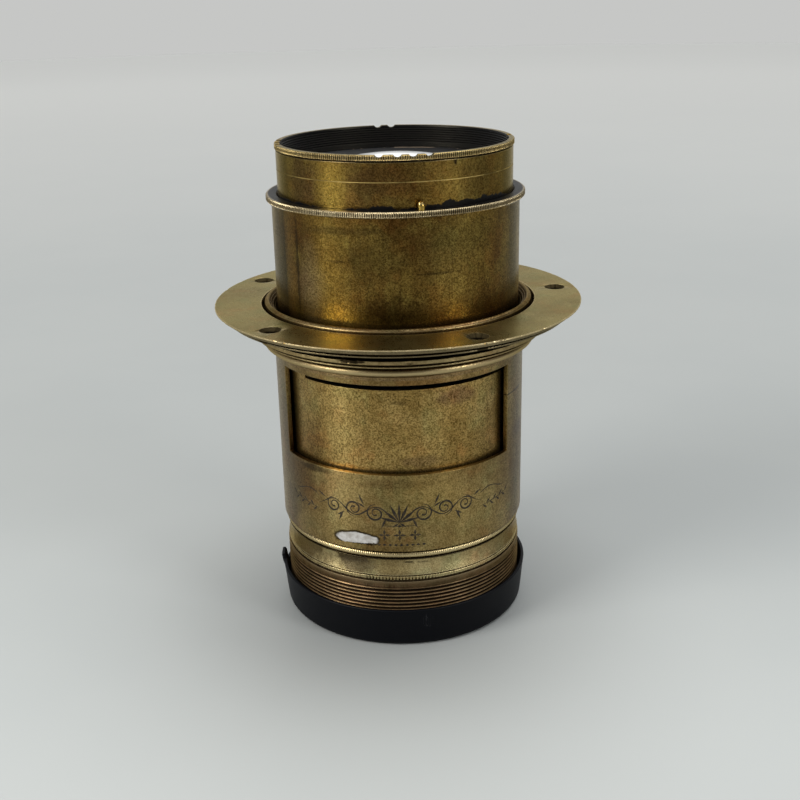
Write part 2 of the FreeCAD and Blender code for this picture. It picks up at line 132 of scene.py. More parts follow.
def finish_mesh(name, vertices, faces, edge=None, weld=0.0, sharp=32):
    """A smooth-shaded object from vertices in millimetres, with its normals outwards."""
    mesh = bpy.data.meshes.new(name)
    faces = faces if isinstance(faces, list) else faces.tolist()
    mesh.from_pydata((np.asarray(vertices, float) * MM).tolist(), [], faces)
    if edge is not None:
        layer = mesh.attributes.new("edge", "FLOAT", "POINT")
        layer.data.foreach_set("value", np.asarray(edge, np.float32))
    tidy = bmesh.new()
    tidy.from_mesh(mesh)
    if weld:
        bmesh.ops.remove_doubles(tidy, verts=tidy.verts, dist=weld * MM)
        loose = [e for e in tidy.edges if not e.link_faces]
        bmesh.ops.delete(tidy, geom=loose, context="EDGES")
    bmesh.ops.recalc_face_normals(tidy, faces=tidy.faces)
    tidy.to_mesh(mesh)
    tidy.free()
    mesh.polygons.foreach_set("use_smooth", np.ones(len(mesh.polygons), bool))
    mesh.set_sharp_from_angle(angle=math.radians(sharp))
    thing = bpy.data.objects.new(name, mesh)
    bpy.context.scene.collection.objects.link(thing)
    return thing


def on_axis(radius, bearing, height):
    """Points at radii, bearings in radians and heights."""
    return np.stack([radius * np.sin(bearing), -radius * np.cos(bearing), height], -1)


THREAD_RUN_OUT = 0.7                   # of a pitch, over which a thread fades at each end
THREAD_FLANK, THREAD_LAND = 1.25, 0.12     # how steep its flanks are, and how flat its crest


def turned(name, outline, columns=288, fillet=0.12, warp=None, thread=None):
    """A solid of revolution, with an optional warp of its points and an optional helical thread.

    `thread` is (crest radius, lowest and highest point, pitch, depth, rows in a turn).
    """
    points, edge = section(outline, fillet)
    steps = columns + 1 if thread else columns
    bearing = (np.arange(steps) * TURN / columns)[:, None]
    radius = np.repeat(points[:, 0][None], steps, 0)
    height = np.repeat(points[:, 1][None], steps, 0)
    if thread:
        crest, low, high, pitch, depth, rows = thread
        first, last = (int(np.argmin(np.hypot(points[:, 0] - crest, points[:, 1] - z))) for z in (low, high))
        z0, z1 = points[first, 1], points[last, 1]
        k = np.arange(1, int(round((z1 - z0 + pitch) / pitch * rows)))
        turn_z = np.clip(z0 - pitch + k * pitch / rows + pitch * bearing / TURN, z0, z1)
        run_out = np.clip(np.minimum(turn_z - z0, z1 - turn_z) / (THREAD_RUN_OUT * pitch), 0, 1)
        phase = (k % rows) / rows
        groove = depth * np.clip(THREAD_FLANK * (1 - abs(2 * phase - 1)) - THREAD_LAND, 0, 1)
        radius = np.concatenate([radius[:, :first + 1], crest - groove * run_out, radius[:, last:]], 1)
        height = np.concatenate([height[:, :first + 1], turn_z, height[:, last:]], 1)
        edge = np.concatenate([edge[:first + 1], 1 - 2 * np.clip(groove / depth * 1.3, 0, 1), edge[last:]])
    if warp:
        radius, height = warp(radius, height, bearing)
    n = radius.shape[1]
    vertices = on_axis(radius, bearing, height).reshape(-1, 3)
    column, row = np.meshgrid(np.arange(columns), np.arange(n), indexing="ij")
    beside = (column + 1) if thread else (column + 1) % columns
    above = (row + 1) % n
    corners = [column * n + row, beside * n + row, beside * n + above, column * n + above]
    at_pole = bool(points[:, 0].min() < 0.01)
    return finish_mesh(name, vertices, np.stack(corners, -1).reshape(-1, 4), np.tile(edge, steps),
                       weld=2e-4 if thread or at_pole else 0)


def smooth(x):
    x = np.clip(x, 0, 1)
    return x * x * (3 - 2 * x)


def between(value, low, high, soft):
    """1 between low and high, falling to 0 over `soft` outside them."""
    return smooth((value - low) / soft + 1) * smooth((high - value) / soft + 1)


def apart(bearing, at):
    """Signed difference of two bearings in degrees, from -180 to 180."""
    return (np.degrees(bearing) - at + 180) % 360 - 180


def knurl(radius, height, bearing, low, high, least_radius, teeth, depth):
    """Straight teeth cut into the outside between two heights."""
    groove = 1 - abs(np.cos(teeth * bearing / 2))
    band = between(height, low, high, 0.12) * (radius > least_radius)
    return radius - depth * groove ** 1.3 * band


def nicks(radius, height, bearing, places):
    """Small knocks in an edge: each is (bearing, height, width in degrees, reach in mm, depth)."""
    for at, z, wide, reach, depth in places:
        spread = np.clip(1 - (apart(bearing, at) / wide) ** 2, 0, 1)
        near = np.clip(1 - (abs(height - z) / reach) ** 2, 0, 1)
        radius = radius - depth * spread * near * (0.75 + 0.25 * np.cos(np.degrees(bearing) * 9))
    return radius


COLUMN_STEP, ROW_STEP = 1.25, 3        # degrees and mm between the points of a windowed tube


def window_shell(name, inner, outer, bottom, top, cut_low, cut_high, cut_bearing, cut_wide, bevel):
    """A tube with one window cut right through its wall."""
    first, last = cut_bearing - cut_wide / 2, cut_bearing + cut_wide / 2
    inside = np.linspace(first, last, max(8, round(cut_wide / COLUMN_STEP)) + 1)
    outside = np.linspace(last, first + 360, max(8, round((360 - cut_wide) / COLUMN_STEP)) + 1)
    bearings = np.radians(np.concatenate([inside[:-1], outside[:-1]]))
    open_columns = len(inside) - 1
    levels = []
    for low, high in ((bottom, cut_low), (cut_low, cut_high), (cut_high, top)):
        levels += list(np.linspace(low, high, max(1, round((high - low) / ROW_STEP)) + 1)[:-1])
    levels = np.array(levels + [top])
    rows, columns = len(levels), len(bearings)
    wall = [on_axis(np.full((columns, rows), r), bearings[:, None], np.repeat(levels[None], columns, 0))
            for r in (outer, inner)]
    vertices = np.concatenate([side.reshape(-1, 3) for side in wall])
    under = columns * rows

    def full(c, k):
        if k < 0 or k >= rows - 1:
            return False
        middle = (levels[k] + levels[k + 1]) / 2
        return not (c % columns < open_columns and cut_low - 1e-6 < middle < cut_high + 1e-6)

    faces = []
    for c in range(columns):
        d = (c + 1) % columns
        for k in range(rows - 1):
            if not full(c, k):
                continue
            a, b, e, f = c * rows + k, d * rows + k, d * rows + k + 1, c * rows + k + 1
            faces += [(a, b, e, f), (under + a, under + f, under + e, under + b)]
            if not full(c, k - 1):
                faces.append((a, under + a, under + b, b))
            if not full(c, k + 1):
                faces.append((f, e, under + e, under + f))
            if not full(c - 1, k):
                faces.append((a, f, under + f, under + a))
            if not full(c + 1, k):
                faces.append((b, under + b, under + e, e))
    thing = finish_mesh(name, vertices, faces)
    soften = thing.modifiers.new("worn edges", "BEVEL")
    soften.width, soften.segments, soften.limit_method = bevel * MM, 2, "ANGLE"
    soften.angle_limit = math.radians(50)
    even = thing.modifiers.new("even shading", "WEIGHTED_NORMAL")
    even.keep_sharp = False
    return thing


def modified_copy(thing):
    """Replaces an object's mesh with its modified mesh."""
    shown = thing.evaluated_get(bpy.context.evaluated_depsgraph_get())
    result = bpy.data.meshes.new_from_object(shown)
    thing.modifiers.clear()
    thing.data = result
    result.name = thing.name


def stands_for(thing, node, body, slot, slack=SIZE_SLACK):
    """Puts a modelled piece in the place of its CAD node, after checking that it fills the same box."""
    bpy.context.view_layer.update()
    shown = thing.evaluated_get(bpy.context.evaluated_depsgraph_get())
    corners = np.array([tuple(v.co) for v in shown.to_mesh().vertices])
    shown.to_mesh_clear()
    low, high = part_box(node)
    off = max(abs(corners.min(0) - np.array(low)).max(), abs(corners.max(0) - np.array(high)).max())
    if off > slack * MM:
        raise ValueError(f"{thing.name} stands {off / MM:.2f} mm off {node}")
    thing.data.materials.clear()
    thing.data.materials.append(FINISH[slot])
    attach(thing, body)
    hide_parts(node)


# ---------------------------------------------------------------- procedural materials

class Graph:
    """Builds a node tree from numbers, (r, g, b) colours and the outputs of other nodes."""

    def __init__(self, tree):
        self.tree = tree

    def node(self, kind, inputs=None, **settings):
        made = self.tree.nodes.new(kind)
        for key, value in settings.items():
            setattr(made, key, value)
        for key, value in (inputs or {}).items():
            self.put(made.inputs[key], value)
        return made

    def put(self, socket, value):
        if isinstance(value, bpy.types.NodeSocket):
            self.tree.links.new(value, socket)
        else:
            socket.default_value = (*value, 1) if socket.type == "RGBA" else value

    def math(self, operation, a, b=0.0, clamp=False):
        return self.node("ShaderNodeMath", {0: a, 1: b}, operation=operation, use_clamp=clamp).outputs[0]

    def plus(self, a, b, clamp=False):
        return self.math("ADD", a, b, clamp)

    def minus(self, a, b):
        return self.math("SUBTRACT", a, b)

    def scale(self, a, b):
        return self.math("MULTIPLY", a, b)

    def off(self, a, b):
        """How far apart two values are."""
        return self.math("ABSOLUTE", self.minus(a, b))

    def length(self, a, b):
        return self.math("SQRT", self.plus(self.scale(a, a), self.scale(b, b)))

    def times(self, mask, *others):
        """Where all of these masks hold."""
        for other in others:
            mask = self.math("MULTIPLY", mask, other, clamp=True)
        return mask

    def most(self, mask, *others):
        """Where any of these masks holds."""
        for other in others:
            mask = self.math("MAXIMUM", mask, other)
        return mask

    def ramp(self, value, low, high, to_low=0.0, to_high=1.0):
        return self.node("ShaderNodeMapRange", {0: value, 1: low, 2: high, 3: to_low, 4: to_high},
                         interpolation_type="SMOOTHSTEP").outputs[0]

    def mix(self, share, a, b, blend="MIX"):
        return self.node("ShaderNodeMix", {0: share, 6: a, 7: b},
                         data_type="RGBA", blend_type=blend).outputs[2]

    def tinted(self, colour, tint):
        return self.mix(1.0, colour, tint, "MULTIPLY")

    def cover(self, colour, mask, tint, amount):
        """The colour, with up to `amount` of the tint over it where the mask holds."""
        return self.mix(self.scale(mask, amount), colour, tint)


class Nodes(Graph):
    """One procedural material round a Principled shader, in the object's own millimetres."""

    def __init__(self, name):
        self.material = bpy.data.materials.new(name)
        self.material.use_nodes = True
        super().__init__(self.material.node_tree)
        self.tree.nodes.clear()
        self.shader = self.node("ShaderNodeBsdfPrincipled")
        self.node("ShaderNodeOutputMaterial", {"Surface": self.shader.outputs[0]})
        place = self.node("ShaderNodeTexCoord").outputs["Object"]
        self.at = self.vector("MULTIPLY", place, (1000, 1000, 1000))
        self.x, self.y, self.z = self.node("ShaderNodeSeparateXYZ", {0: self.at}).outputs
        self.bearing = self.scale(self.math("ARCTAN2", self.x, self.scale(self.y, -1)), 360 / TURN)
        self.radius = self.length(self.x, self.y)

    def vector(self, operation, a, b):
        return self.node("ShaderNodeVectorMath", {0: a, 1: b}, operation=operation).outputs[0]

    def noise(self, scale, detail, rough, stretch=(1, 1, 1), bend=0.0, shift=0.0):
        place = self.at if stretch == (1, 1, 1) else self.vector("MULTIPLY", self.at, stretch)
        if shift:
            place = self.vector("ADD", place, (shift, -shift, shift))
        return self.node("ShaderNodeTexNoise", {"Vector": place, "Scale": scale, "Detail": detail,
                                                "Roughness": rough, "Distortion": bend}).outputs[0]

    def wobble(self, reach, noise):
        """A noise as a wandering offset, up to half of `reach` each way."""
        return self.scale(self.minus(noise, 0.5), reach)

    def hairlines(self, noise, thin):
        """Fine lines that wander where a noise passes through its middle."""
        return self.ramp(self.off(noise, 0.5), thin, 0.0)

    def edge(self):
        """How worn (+1) or sheltered (-1) the mesh says that a point is."""
        return self.node("ShaderNodeAttribute", attribute_name="edge").outputs["Fac"]

    def spot(self, bearing, z, wide, high, soft, ragged, grain):
        """1 inside a ragged patch at a bearing and height, `wide` degrees by `high` mm to each side."""
        across = self.math("DIVIDE", self.minus(self.bearing, bearing), wide)
        up = self.math("DIVIDE", self.minus(self.z, z), high)
        torn = self.wobble(4 * ragged, self.noise(grain, 4, 0.65))
        return self.ramp(self.plus(self.length(across, up), torn), 1 + soft, 1 - soft)

    def belt(self, low, above_low, high, below_high):
        """1 between two heights, each a soft step."""
        return self.times(self.ramp(self.z, low, above_low), self.ramp(self.z, high, below_high))

    def line(self, z, out, full):
        """A line round the object at a height: 0 beyond `out` mm from it, and 1 within `full`."""
        return self.ramp(self.off(self.z, z), out, full)

    def roots(self, low, high, crest, depth):
        """1 at the bottom of the teeth that are cut into a rim between two heights."""
        return self.times(self.belt(low - 0.05, low + 0.05, high + 0.05, high - 0.05),
                          self.ramp(self.radius, crest - 0.25 * depth, crest - 0.75 * depth))

    def bump(self, strength, distance, height, under=None):
        inputs = {"Strength": strength, "Distance": distance * MM, "Height": height}
        if under is not None:
            inputs["Normal"] = under
        return self.node("ShaderNodeBump", inputs).outputs[0]

    def duller(self, matt, mask, amount):
        """A roughness, raised where the mask holds."""
        return self.plus(matt, self.scale(mask, amount), clamp=True)

    def set(self, **sockets):
        for name, value in sockets.items():
            self.put(self.shader.inputs[name.replace("_", " ")], value)


# The last two tints darken real dirt and painted shade alike.
BROWN, SOOT_AND_SHADE, GRIME_AND_SHADE = (0.055, 0.022, 0.006), (0.008, 0.005, 0.003), (0.012, 0.008, 0.004)
# Tints of painted highlights.
GOLD_HIGHLIGHT, STRAW_HIGHLIGHT = (0.33, 0.215, 0.040), (0.36, 0.28, 0.105)
OPTICAL_BLACK = (0.004, 0.004, 0.0045)
OLD_LACQUER = (0.80, 0.70, 0.52)       # keeps the brass from whitening where it turns away
BARE = (1.0, 0.99, 0.97)               # the same tint where the lacquer is gone
SPECKLE = ((0.30, 1.55), (0.26, 1.56), (0.18, 1.62))     # darkest and lightest, for red, green and blue


def brass(name, dark, mid, light, rough=0.34, speckle=0.6, streaks=0.4, turning=0.3, blotch=0.05, worn=0.6,
          worn_colour=(0.40, 0.31, 0.15), stains_and_shade=(), painted_highlights=(), edge_tint=OLD_LACQUER, painted_side_shade=0.35, extra=None):
    """Aged, once lacquered brass: mottled tone, fine speckle, streaks, turning marks, worn edges, stain
    patches and painted light and shade.

    The darker patches are stain and painted shade, the lighter ones painted highlights and reflections,
    each (bearing, z, wide, high, tint, amount).
    """
    n = Nodes(name)
    n.set(Metallic=1.0, Specular_IOR_Level=0.12, Specular_Tint=edge_tint)
    tone = n.ramp(n.noise(blotch, 4, 0.55, (1, 1, 0.62), 0.35), 0.34, 0.64)
    cloud = n.ramp(n.noise(0.13, 5, 0.62, shift=31), 0.44, 0.72)
    streak = n.ramp(n.noise(0.42, 3, 0.6, (1, 1, 0.05), shift=7), 0.38, 0.66)
    colour = n.cover(n.mix(tone, dark, mid), cloud, light, 0.45)
    colour = n.cover(colour, streak, dark, streaks)
    hue = n.noise(0.10, 3, 0.6, shift=53)
    for low, high, tint in ((0.52, 0.66, (0.84, 1.02, 1.05)), (0.46, 0.34, (1.08, 0.84, 0.78))):
        colour = n.mix(n.ramp(hue, low, high, 0.0, 0.55), colour, n.tinted(colour, tint))
    # Painted shade: darker bands near bearings -65 and 66, where the room's dark walls would reflect.
    for middle in (-65, 66):
        band = n.ramp(n.off(n.bearing, middle), 9, 2.5, 0.0, painted_side_shade)
        colour = n.mix(band, colour, n.tinted(colour, (0.22, 0.20, 0.16)))
    # Painted highlights and reflections, then darker patches of stain and painted shade.
    for patches, soft, ragged, torn in ((painted_highlights, 0.8, 0.3, 0.16), (stains_and_shade, 0.45, 0.55, 0.3)):
        for bearing, z, wide, high, tint, amount in patches:
            colour = n.cover(colour, n.spot(bearing, z, wide, high, soft, ragged, torn), tint, amount)
    grain = n.plus(n.scale(n.noise(2.3, 3, 0.7, shift=3), 0.72),
                   n.scale(n.noise(0.9, 3, 0.7, shift=17), 0.28))
    freckles = {i: n.ramp(grain, 0.36, 0.63, low, high) for i, (low, high) in enumerate(SPECKLE)}
    freckled = n.tinted(colour, n.node("ShaderNodeCombineColor", freckles).outputs[0])
    colour = n.mix(speckle, colour, freckled)
    pits = n.ramp(n.noise(2.6, 2, 0.6, shift=11), 0.61, 0.66)
    colour = n.cover(colour, pits, (0.018, 0.010, 0.004), 0.8 * speckle)
    scratch = n.times(n.hairlines(n.noise(0.16, 2, 0.5, (1, 1, 7.0), 0.2, 43), 0.004),
                      n.ramp(n.noise(0.10, 3, 0.6, shift=47), 0.50, 0.56))
    colour = n.cover(colour, scratch, (0.03, 0.018, 0.008), 0.55)
    edge = n.edge()
    rubbed = n.times(n.ramp(edge, 0.25, 1.0), n.ramp(n.noise(0.55, 4, 0.7, shift=19), 0.33, 0.60, 0.5, 1.0))
    colour = n.cover(colour, rubbed, worn_colour, worn)
    # Dirt and painted shade in sheltered hollows.
    grime_and_shade = n.times(n.ramp(n.scale(edge, -1), 0.1, 0.9),
                    n.ramp(n.noise(0.8, 3, 0.6, shift=23), 0.25, 0.5, 0.5, 1.0))
    colour = n.cover(colour, grime_and_shade, GRIME_AND_SHADE, 0.92)
    lines = n.noise(1.0, 3, 0.7, (0.05, 0.05, 7.0), shift=5)
    matt = n.plus(n.ramp(grain, 0.3, 0.7, rough + 0.09, rough - 0.07), n.wobble(0.16, lines))
    matt = n.duller(matt, grime_and_shade, 0.25)
    if extra:
        colour, matt = extra(n, colour, matt)
    dents = n.bump(0.25, 0.05, n.plus(grain, n.scale(pits, -1.2)))
    n.set(Base_Color=colour, Roughness=matt,
          Normal=n.bump(turning, 0.02, n.plus(lines, n.noise(0.3, 2, 0.5, shift=41)), dents))
    return n.material


def black_paint(name, ridge_brass, glint):
    """Matt optical black over brass, rubbed through along worn edges and in the `glint` spots."""
    n = Nodes(name)
    dust = n.ramp(n.noise(0.9, 5, 0.75), 0.42, 0.75)
    colour = n.mix(n.scale(dust, 0.5), (0.003, 0.003, 0.003), (0.009, 0.0085, 0.008))
    edge = n.edge()
    share = n.scale(n.times(n.ramp(edge, 0.5, 1.0), n.ramp(n.noise(0.5, 4, 0.7), 0.55, 0.72)), ridge_brass)
    for spot in glint:
        share = n.most(share, n.times(n.spot(*spot), n.ramp(edge, 0.2, 0.8)))
    n.set(Base_Color=n.mix(share, colour, (0.30, 0.23, 0.16)), Metallic=share, Specular_IOR_Level=0.13,
          Roughness=n.ramp(dust, 0, 1, 0.34, 0.55), Normal=n.bump(0.3, 0.03, n.noise(2.5, 3, 0.7)))
    return n.material


def moulded_plastic(name):
    """Black moulded cap plastic: a fine matt grain, faint scuffs and a little dust."""
    n = Nodes(name)
    scuff = n.ramp(n.noise(0.35, 5, 0.8, (1, 1, 0.35), 0.8), 0.56, 0.74)
    dust = n.ramp(n.noise(3.2, 2, 0.5, shift=13), 0.70, 0.76)
    colour = n.mix(n.scale(scuff, 0.30), (0.0012, 0.0015, 0.0026), (0.004, 0.005, 0.007))
    colour = n.cover(colour, dust, (0.03, 0.03, 0.03), 0.3)
    hair = n.times(n.hairlines(n.noise(0.9, 2, 0.5, (1, 1, 0.12), 0.5, 29), 0.006),
                   n.spot(10, 8.0, 2.5, 2.2, 0.2, 0.4, 1.0))
    colour = n.cover(colour, hair, (0.10, 0.10, 0.105), 0.35)
    n.set(Base_Color=colour, Roughness=n.ramp(scuff, 0, 1, 0.50, 0.40), Specular_IOR_Level=0.10,
          Normal=n.bump(0.20, 0.02, n.noise(5.5, 3, 0.6), n.bump(0.15, 0.15, n.noise(0.08, 2, 0.5))))
    return n.material


def optical_glass(name, ior, tint, painted_glancing_reflection=0.0):
    """Polished glass with a trace of dust and old wipe marks.

    The last argument is how far the glass turns to a diffuse white at a grazing angle, a painted reflection
    of the bright room that hides what is behind it.
    """
    n = Nodes(name)
    wipe = n.ramp(n.noise(0.14, 5, 0.7, (1, 0.4, 1), 1.2), 0.50, 0.80)
    n.set(Base_Color=tint, Transmission_Weight=1.0, IOR=ior, Roughness=n.ramp(wipe, 0, 1, 0.0, 0.05),
          Normal=n.bump(0.02, 0.01, wipe))
    if painted_glancing_reflection:
        # Painted reflection: diffuse white instead of clear glass where it is seen at a grazing angle.
        facing = n.node("ShaderNodeLayerWeight", {"Blend": 0.5}).outputs["Facing"]
        n.set(Transmission_Weight=n.ramp(facing, 0.45, 0.68, 1.0, 1 - painted_glancing_reflection))
    return n.material


def engraving_wax(name):
    """Old dark wax in the engraved lines."""
    n = Nodes(name)
    n.set(Base_Color=n.mix(n.ramp(n.noise(0.7, 4, 0.7), 0.42, 0.66),
                           (0.012, 0.009, 0.006), (0.050, 0.036, 0.018)),
          Roughness=0.55, Specular_IOR_Level=0.2)
    return n.material


def pale_floor(name):
    """Pale board that grows lighter away from the object, as an evenly lit sweep does, with painted shadow
    round the object's foot and behind it.
    """
    n = Nodes(name)
    tone = n.ramp(n.noise(0.004, 4, 0.6), 0.35, 0.65)
    colour = n.mix(tone, (0.352, 0.370, 0.366), (0.370, 0.386, 0.379))
    # Painted shade: darker behind the object.
    colour = n.mix(n.ramp(n.y, -90, 70, 0.0, 0.17), colour, (0.0, 0.0, 0.0))
    # Painted shadow round the object's foot.
    colour = n.mix(n.ramp(n.radius, 78, 36, 0.0, 0.10), colour, (0.0, 0.0, 0.0))
    n.set(Base_Color=n.mix(n.ramp(n.radius, 50, 2100), colour, (0.856, 0.861, 0.835)),
          Roughness=0.5, Specular_IOR_Level=0.2)
    return n.material


# ---------------------------------------------------------------- finishes

def pitted(n, dark, light):
    return n.mix(n.ramp(n.noise(2.4, 4, 0.8, shift=71), 0.36, 0.62), dark, light)


def milled(n, colour, crest, tint, brightest):
    """The crests of a milled rim rubbed bright, here more and there less."""
    rubbed = n.ramp(n.noise(0.5, 4, 0.7, shift=67), 0.35, 0.6, 0.25, brightest)
    return n.mix(n.times(crest, rubbed), colour, tint)


def engraved_side(n, colour, matt):
    """The barrel's engraved side: a worn whitish patch with a pointed left end, and a pitted top edge."""
    floor = n.plus(30.05, n.wobble(1.6, n.noise(0.8, 4, 0.7)))
    taper = n.scale(n.minus(n.bearing, -21), 0.045)
    lifted = n.minus(n.z, floor)
    # A dark outline round the patch, partly its dark edge and partly painted shadow along the edge of the
    # dent.
    rim = n.times(n.spot(-21.5, 31.2, 11.2, 2.35, 0.08, 0.12, 0.45),
                  n.ramp(n.plus(lifted, 0.25), -0.15, 0.05))
    patch = n.times(n.spot(-21.2, 31.1, 9.9, 1.85, 0.08, 0.12, 0.45),
                    n.ramp(n.minus(lifted, taper), -0.2, 0.1))
    colour = n.cover(colour, rim, SOOT_AND_SHADE, 0.85)
    silver = n.mix(n.ramp(n.noise(0.6, 5, 0.7), 0.35, 0.65), (0.50, 0.49, 0.47), (0.33, 0.31, 0.28))
    n.set(Metallic=n.minus(1.0, n.scale(patch, 0.8)))
    seam = n.times(n.ramp(n.z, 75.1, 75.35), n.ramp(n.radius, 33.5, 33.6))
    colour = n.cover(colour, seam, pitted(n, (0.022, 0.013, 0.006), (0.31, 0.21, 0.11)), 0.5)
    return n.mix(patch, colour, silver), n.duller(matt, patch, 0.12)


def painted_shade_on_seat(n, colour, matt):
    """Painted shade on the collar's upper face and thread, which the flange shades, and in its grooves."""
    # Painted shade where the flange hides the seat, and in the grooves.
    hidden = n.times(n.ramp(n.z, 82.25, 82.35), n.ramp(n.radius, 40.0, 39.5), n.ramp(n.z, 87.6, 87.3))
    grooves = [n.times(n.line(z, out, full), share) for z, out, full, share in
               ((81.0, 0.55, 0.25, 0.75), (79.6, 0.45, 0.2, 0.85), (76.75, 0.4, 0.15, 0.95))]
    chip = n.times(n.spot(-16.5, 82.1, 4.6, 0.45, 0.15, 0.2, 0.6), n.ramp(n.radius, 39.0, 39.6))
    shade = n.most(hidden, *grooves, chip)
    inside = n.times(n.ramp(n.z, 86.9, 87.0), n.ramp(n.radius, 34.9, 34.6))
    colour = n.cover(colour, inside, (0.14, 0.115, 0.095), 0.6)
    return n.cover(colour, shade, SOOT_AND_SHADE, 0.93), n.duller(matt, shade, 0.2)


def soldered_seam(n, colour, matt):
    """The collar: painted shade on its seat, a painted highlight on its lowest bead,
    and a pitted dark seam under that bead.
    """
    colour, matt = painted_shade_on_seat(n, colour, matt)
    # Painted highlight along the lowest bead.
    bead = n.times(n.belt(77.0, 77.3, 79.0, 78.0), n.ramp(n.radius, 35.8, 36.1))
    colour = n.cover(colour, bead, (0.50, 0.395, 0.205), 0.75)
    seam = n.times(n.ramp(n.z, 76.9, 76.7), n.ramp(n.radius, 34.6, 34.3))
    return n.cover(colour, seam, pitted(n, (0.014, 0.008, 0.004), (0.30, 0.20, 0.105)), 0.85), matt


def shaded_hub(n, colour, matt):
    """Painted shade under the flange and on its hub, and dull dark brass in its screw holes,
    with painted shade deep inside them.
    """
    # Painted shade under the flange's rim and on its hub.
    under = n.times(n.ramp(n.z, 87.75, 87.55), n.ramp(n.radius, 49.2, 48.7))
    hub = n.times(n.ramp(n.radius, 45.6, 45.3), n.ramp(n.z, 86.6, 86.4))
    colour = n.mix(n.most(n.scale(under, 0.75), hub), colour, (0.05, 0.036, 0.018))
    half = SCREW_STEP / 2
    turn = n.minus(n.math("FLOORED_MODULO", n.minus(n.bearing, FIRST_SCREW - half), SCREW_STEP), half)
    off = n.length(n.scale(turn, SCREW_CIRCLE * TURN / 360), n.minus(n.radius, SCREW_CIRCLE))
    # Dull dark brass in the countersinks, and painted shade deep in the holes.
    hole, deep = n.ramp(off, 2.85, 2.70), n.ramp(off, 2.1, 1.6)
    colour = n.mix(hole, colour, n.mix(deep, (0.045, 0.034, 0.016), (0.002, 0.0015, 0.001)))
    return colour, n.duller(matt, hole, 0.4)


def blackened_ledge(n, colour, matt):
    """The rear mount: a rubbed milled rim with a painted highlight on its crests, and old black paint
    on its ledge and in its bore.
    """
    ledge = n.times(n.ramp(n.radius, 33.25, 33.05), n.ramp(n.z, 116.6, 116.9),
                    n.ramp(n.noise(0.35, 4, 0.7), 0.24, 0.30))
    crest = n.times(n.belt(115.65, 115.75, 116.8, 116.7), n.ramp(n.radius, 33.70, 33.78))
    # Painted highlight: the rubbed crests lighter near bearing -24.
    bright = n.mix(n.spot(-24, 116.2, 17, 4, 0.6, 0.3, 0.3), (0.20, 0.155, 0.080), (0.80, 0.66, 0.40))
    colour = milled(n, colour, crest, bright, 0.8)
    teeth = n.times(n.roots(115.7, 116.75, MOUNT_RIM, TOOTH), n.ramp(n.radius, 33.0, 33.2))
    colour = n.cover(colour, teeth, SOOT_AND_SHADE, 0.95)
    black = n.most(ledge, n.times(n.ramp(n.radius, 31.0, 30.8), n.ramp(n.z, 116.9, 116.6)))
    n.set(Metallic=n.minus(1.0, black))
    return n.mix(black, colour, (0.004, 0.004, 0.004)), n.duller(matt, black, 0.1)


def blackened_mouth(n, colour, matt):
    """The turning cell: black inside, and black residue creeping up the outside from the ledge."""
    torn = n.wobble(1.9, n.noise(1.1, 5, 0.75, (1, 1, 0.6)))
    reach = n.wobble(2.2, n.noise(0.16, 2, 0.5, (1, 1, 0.05), shift=9))
    top = n.plus(117.25, n.plus(torn, reach))
    for bearing, wide, rise in ((-6, 5.0, 0.95), (9, 4, 0.35), (20, 6, 0.55), (34, 12, 0.75), (52, 9, 0.8)):
        top = n.plus(top, n.ramp(n.off(n.bearing, bearing), wide + 2, wide - 1.5, 0.0, rise))
    outside = n.ramp(n.radius, 30.3, 30.4)
    creep = n.times(n.ramp(n.minus(n.z, top), 0.12, -0.12), outside)
    black = n.most(n.ramp(n.radius, 29.75, 29.45), creep)
    line = n.times(n.line(123.45, 0.14, 0.07), n.ramp(n.radius, 30.4, 30.5),
                   n.ramp(n.noise(0.12, 2, 0.5, shift=61), 0.42, 0.58, 0.25, 0.8))
    colour = n.mix(line, colour, (0.45, 0.34, 0.12))
    crest = n.times(n.belt(128.6, 128.7, 129.7, 129.6), n.ramp(n.radius, 30.80, 30.88))
    colour = milled(n, colour, crest, (0.40, 0.31, 0.15), 0.65)
    colour = n.cover(colour, n.roots(128.6, 129.65, CELL_LIP, TOOTH), SOOT_AND_SHADE, 0.95)
    colour = n.cover(colour, n.times(n.belt(127.9, 128.1, 128.55, 128.4), outside), SOOT_AND_SHADE, 0.75)
    n.set(Metallic=n.minus(1.0, black))
    return n.mix(black, colour, OPTICAL_BLACK), n.duller(matt, black, 0.1)


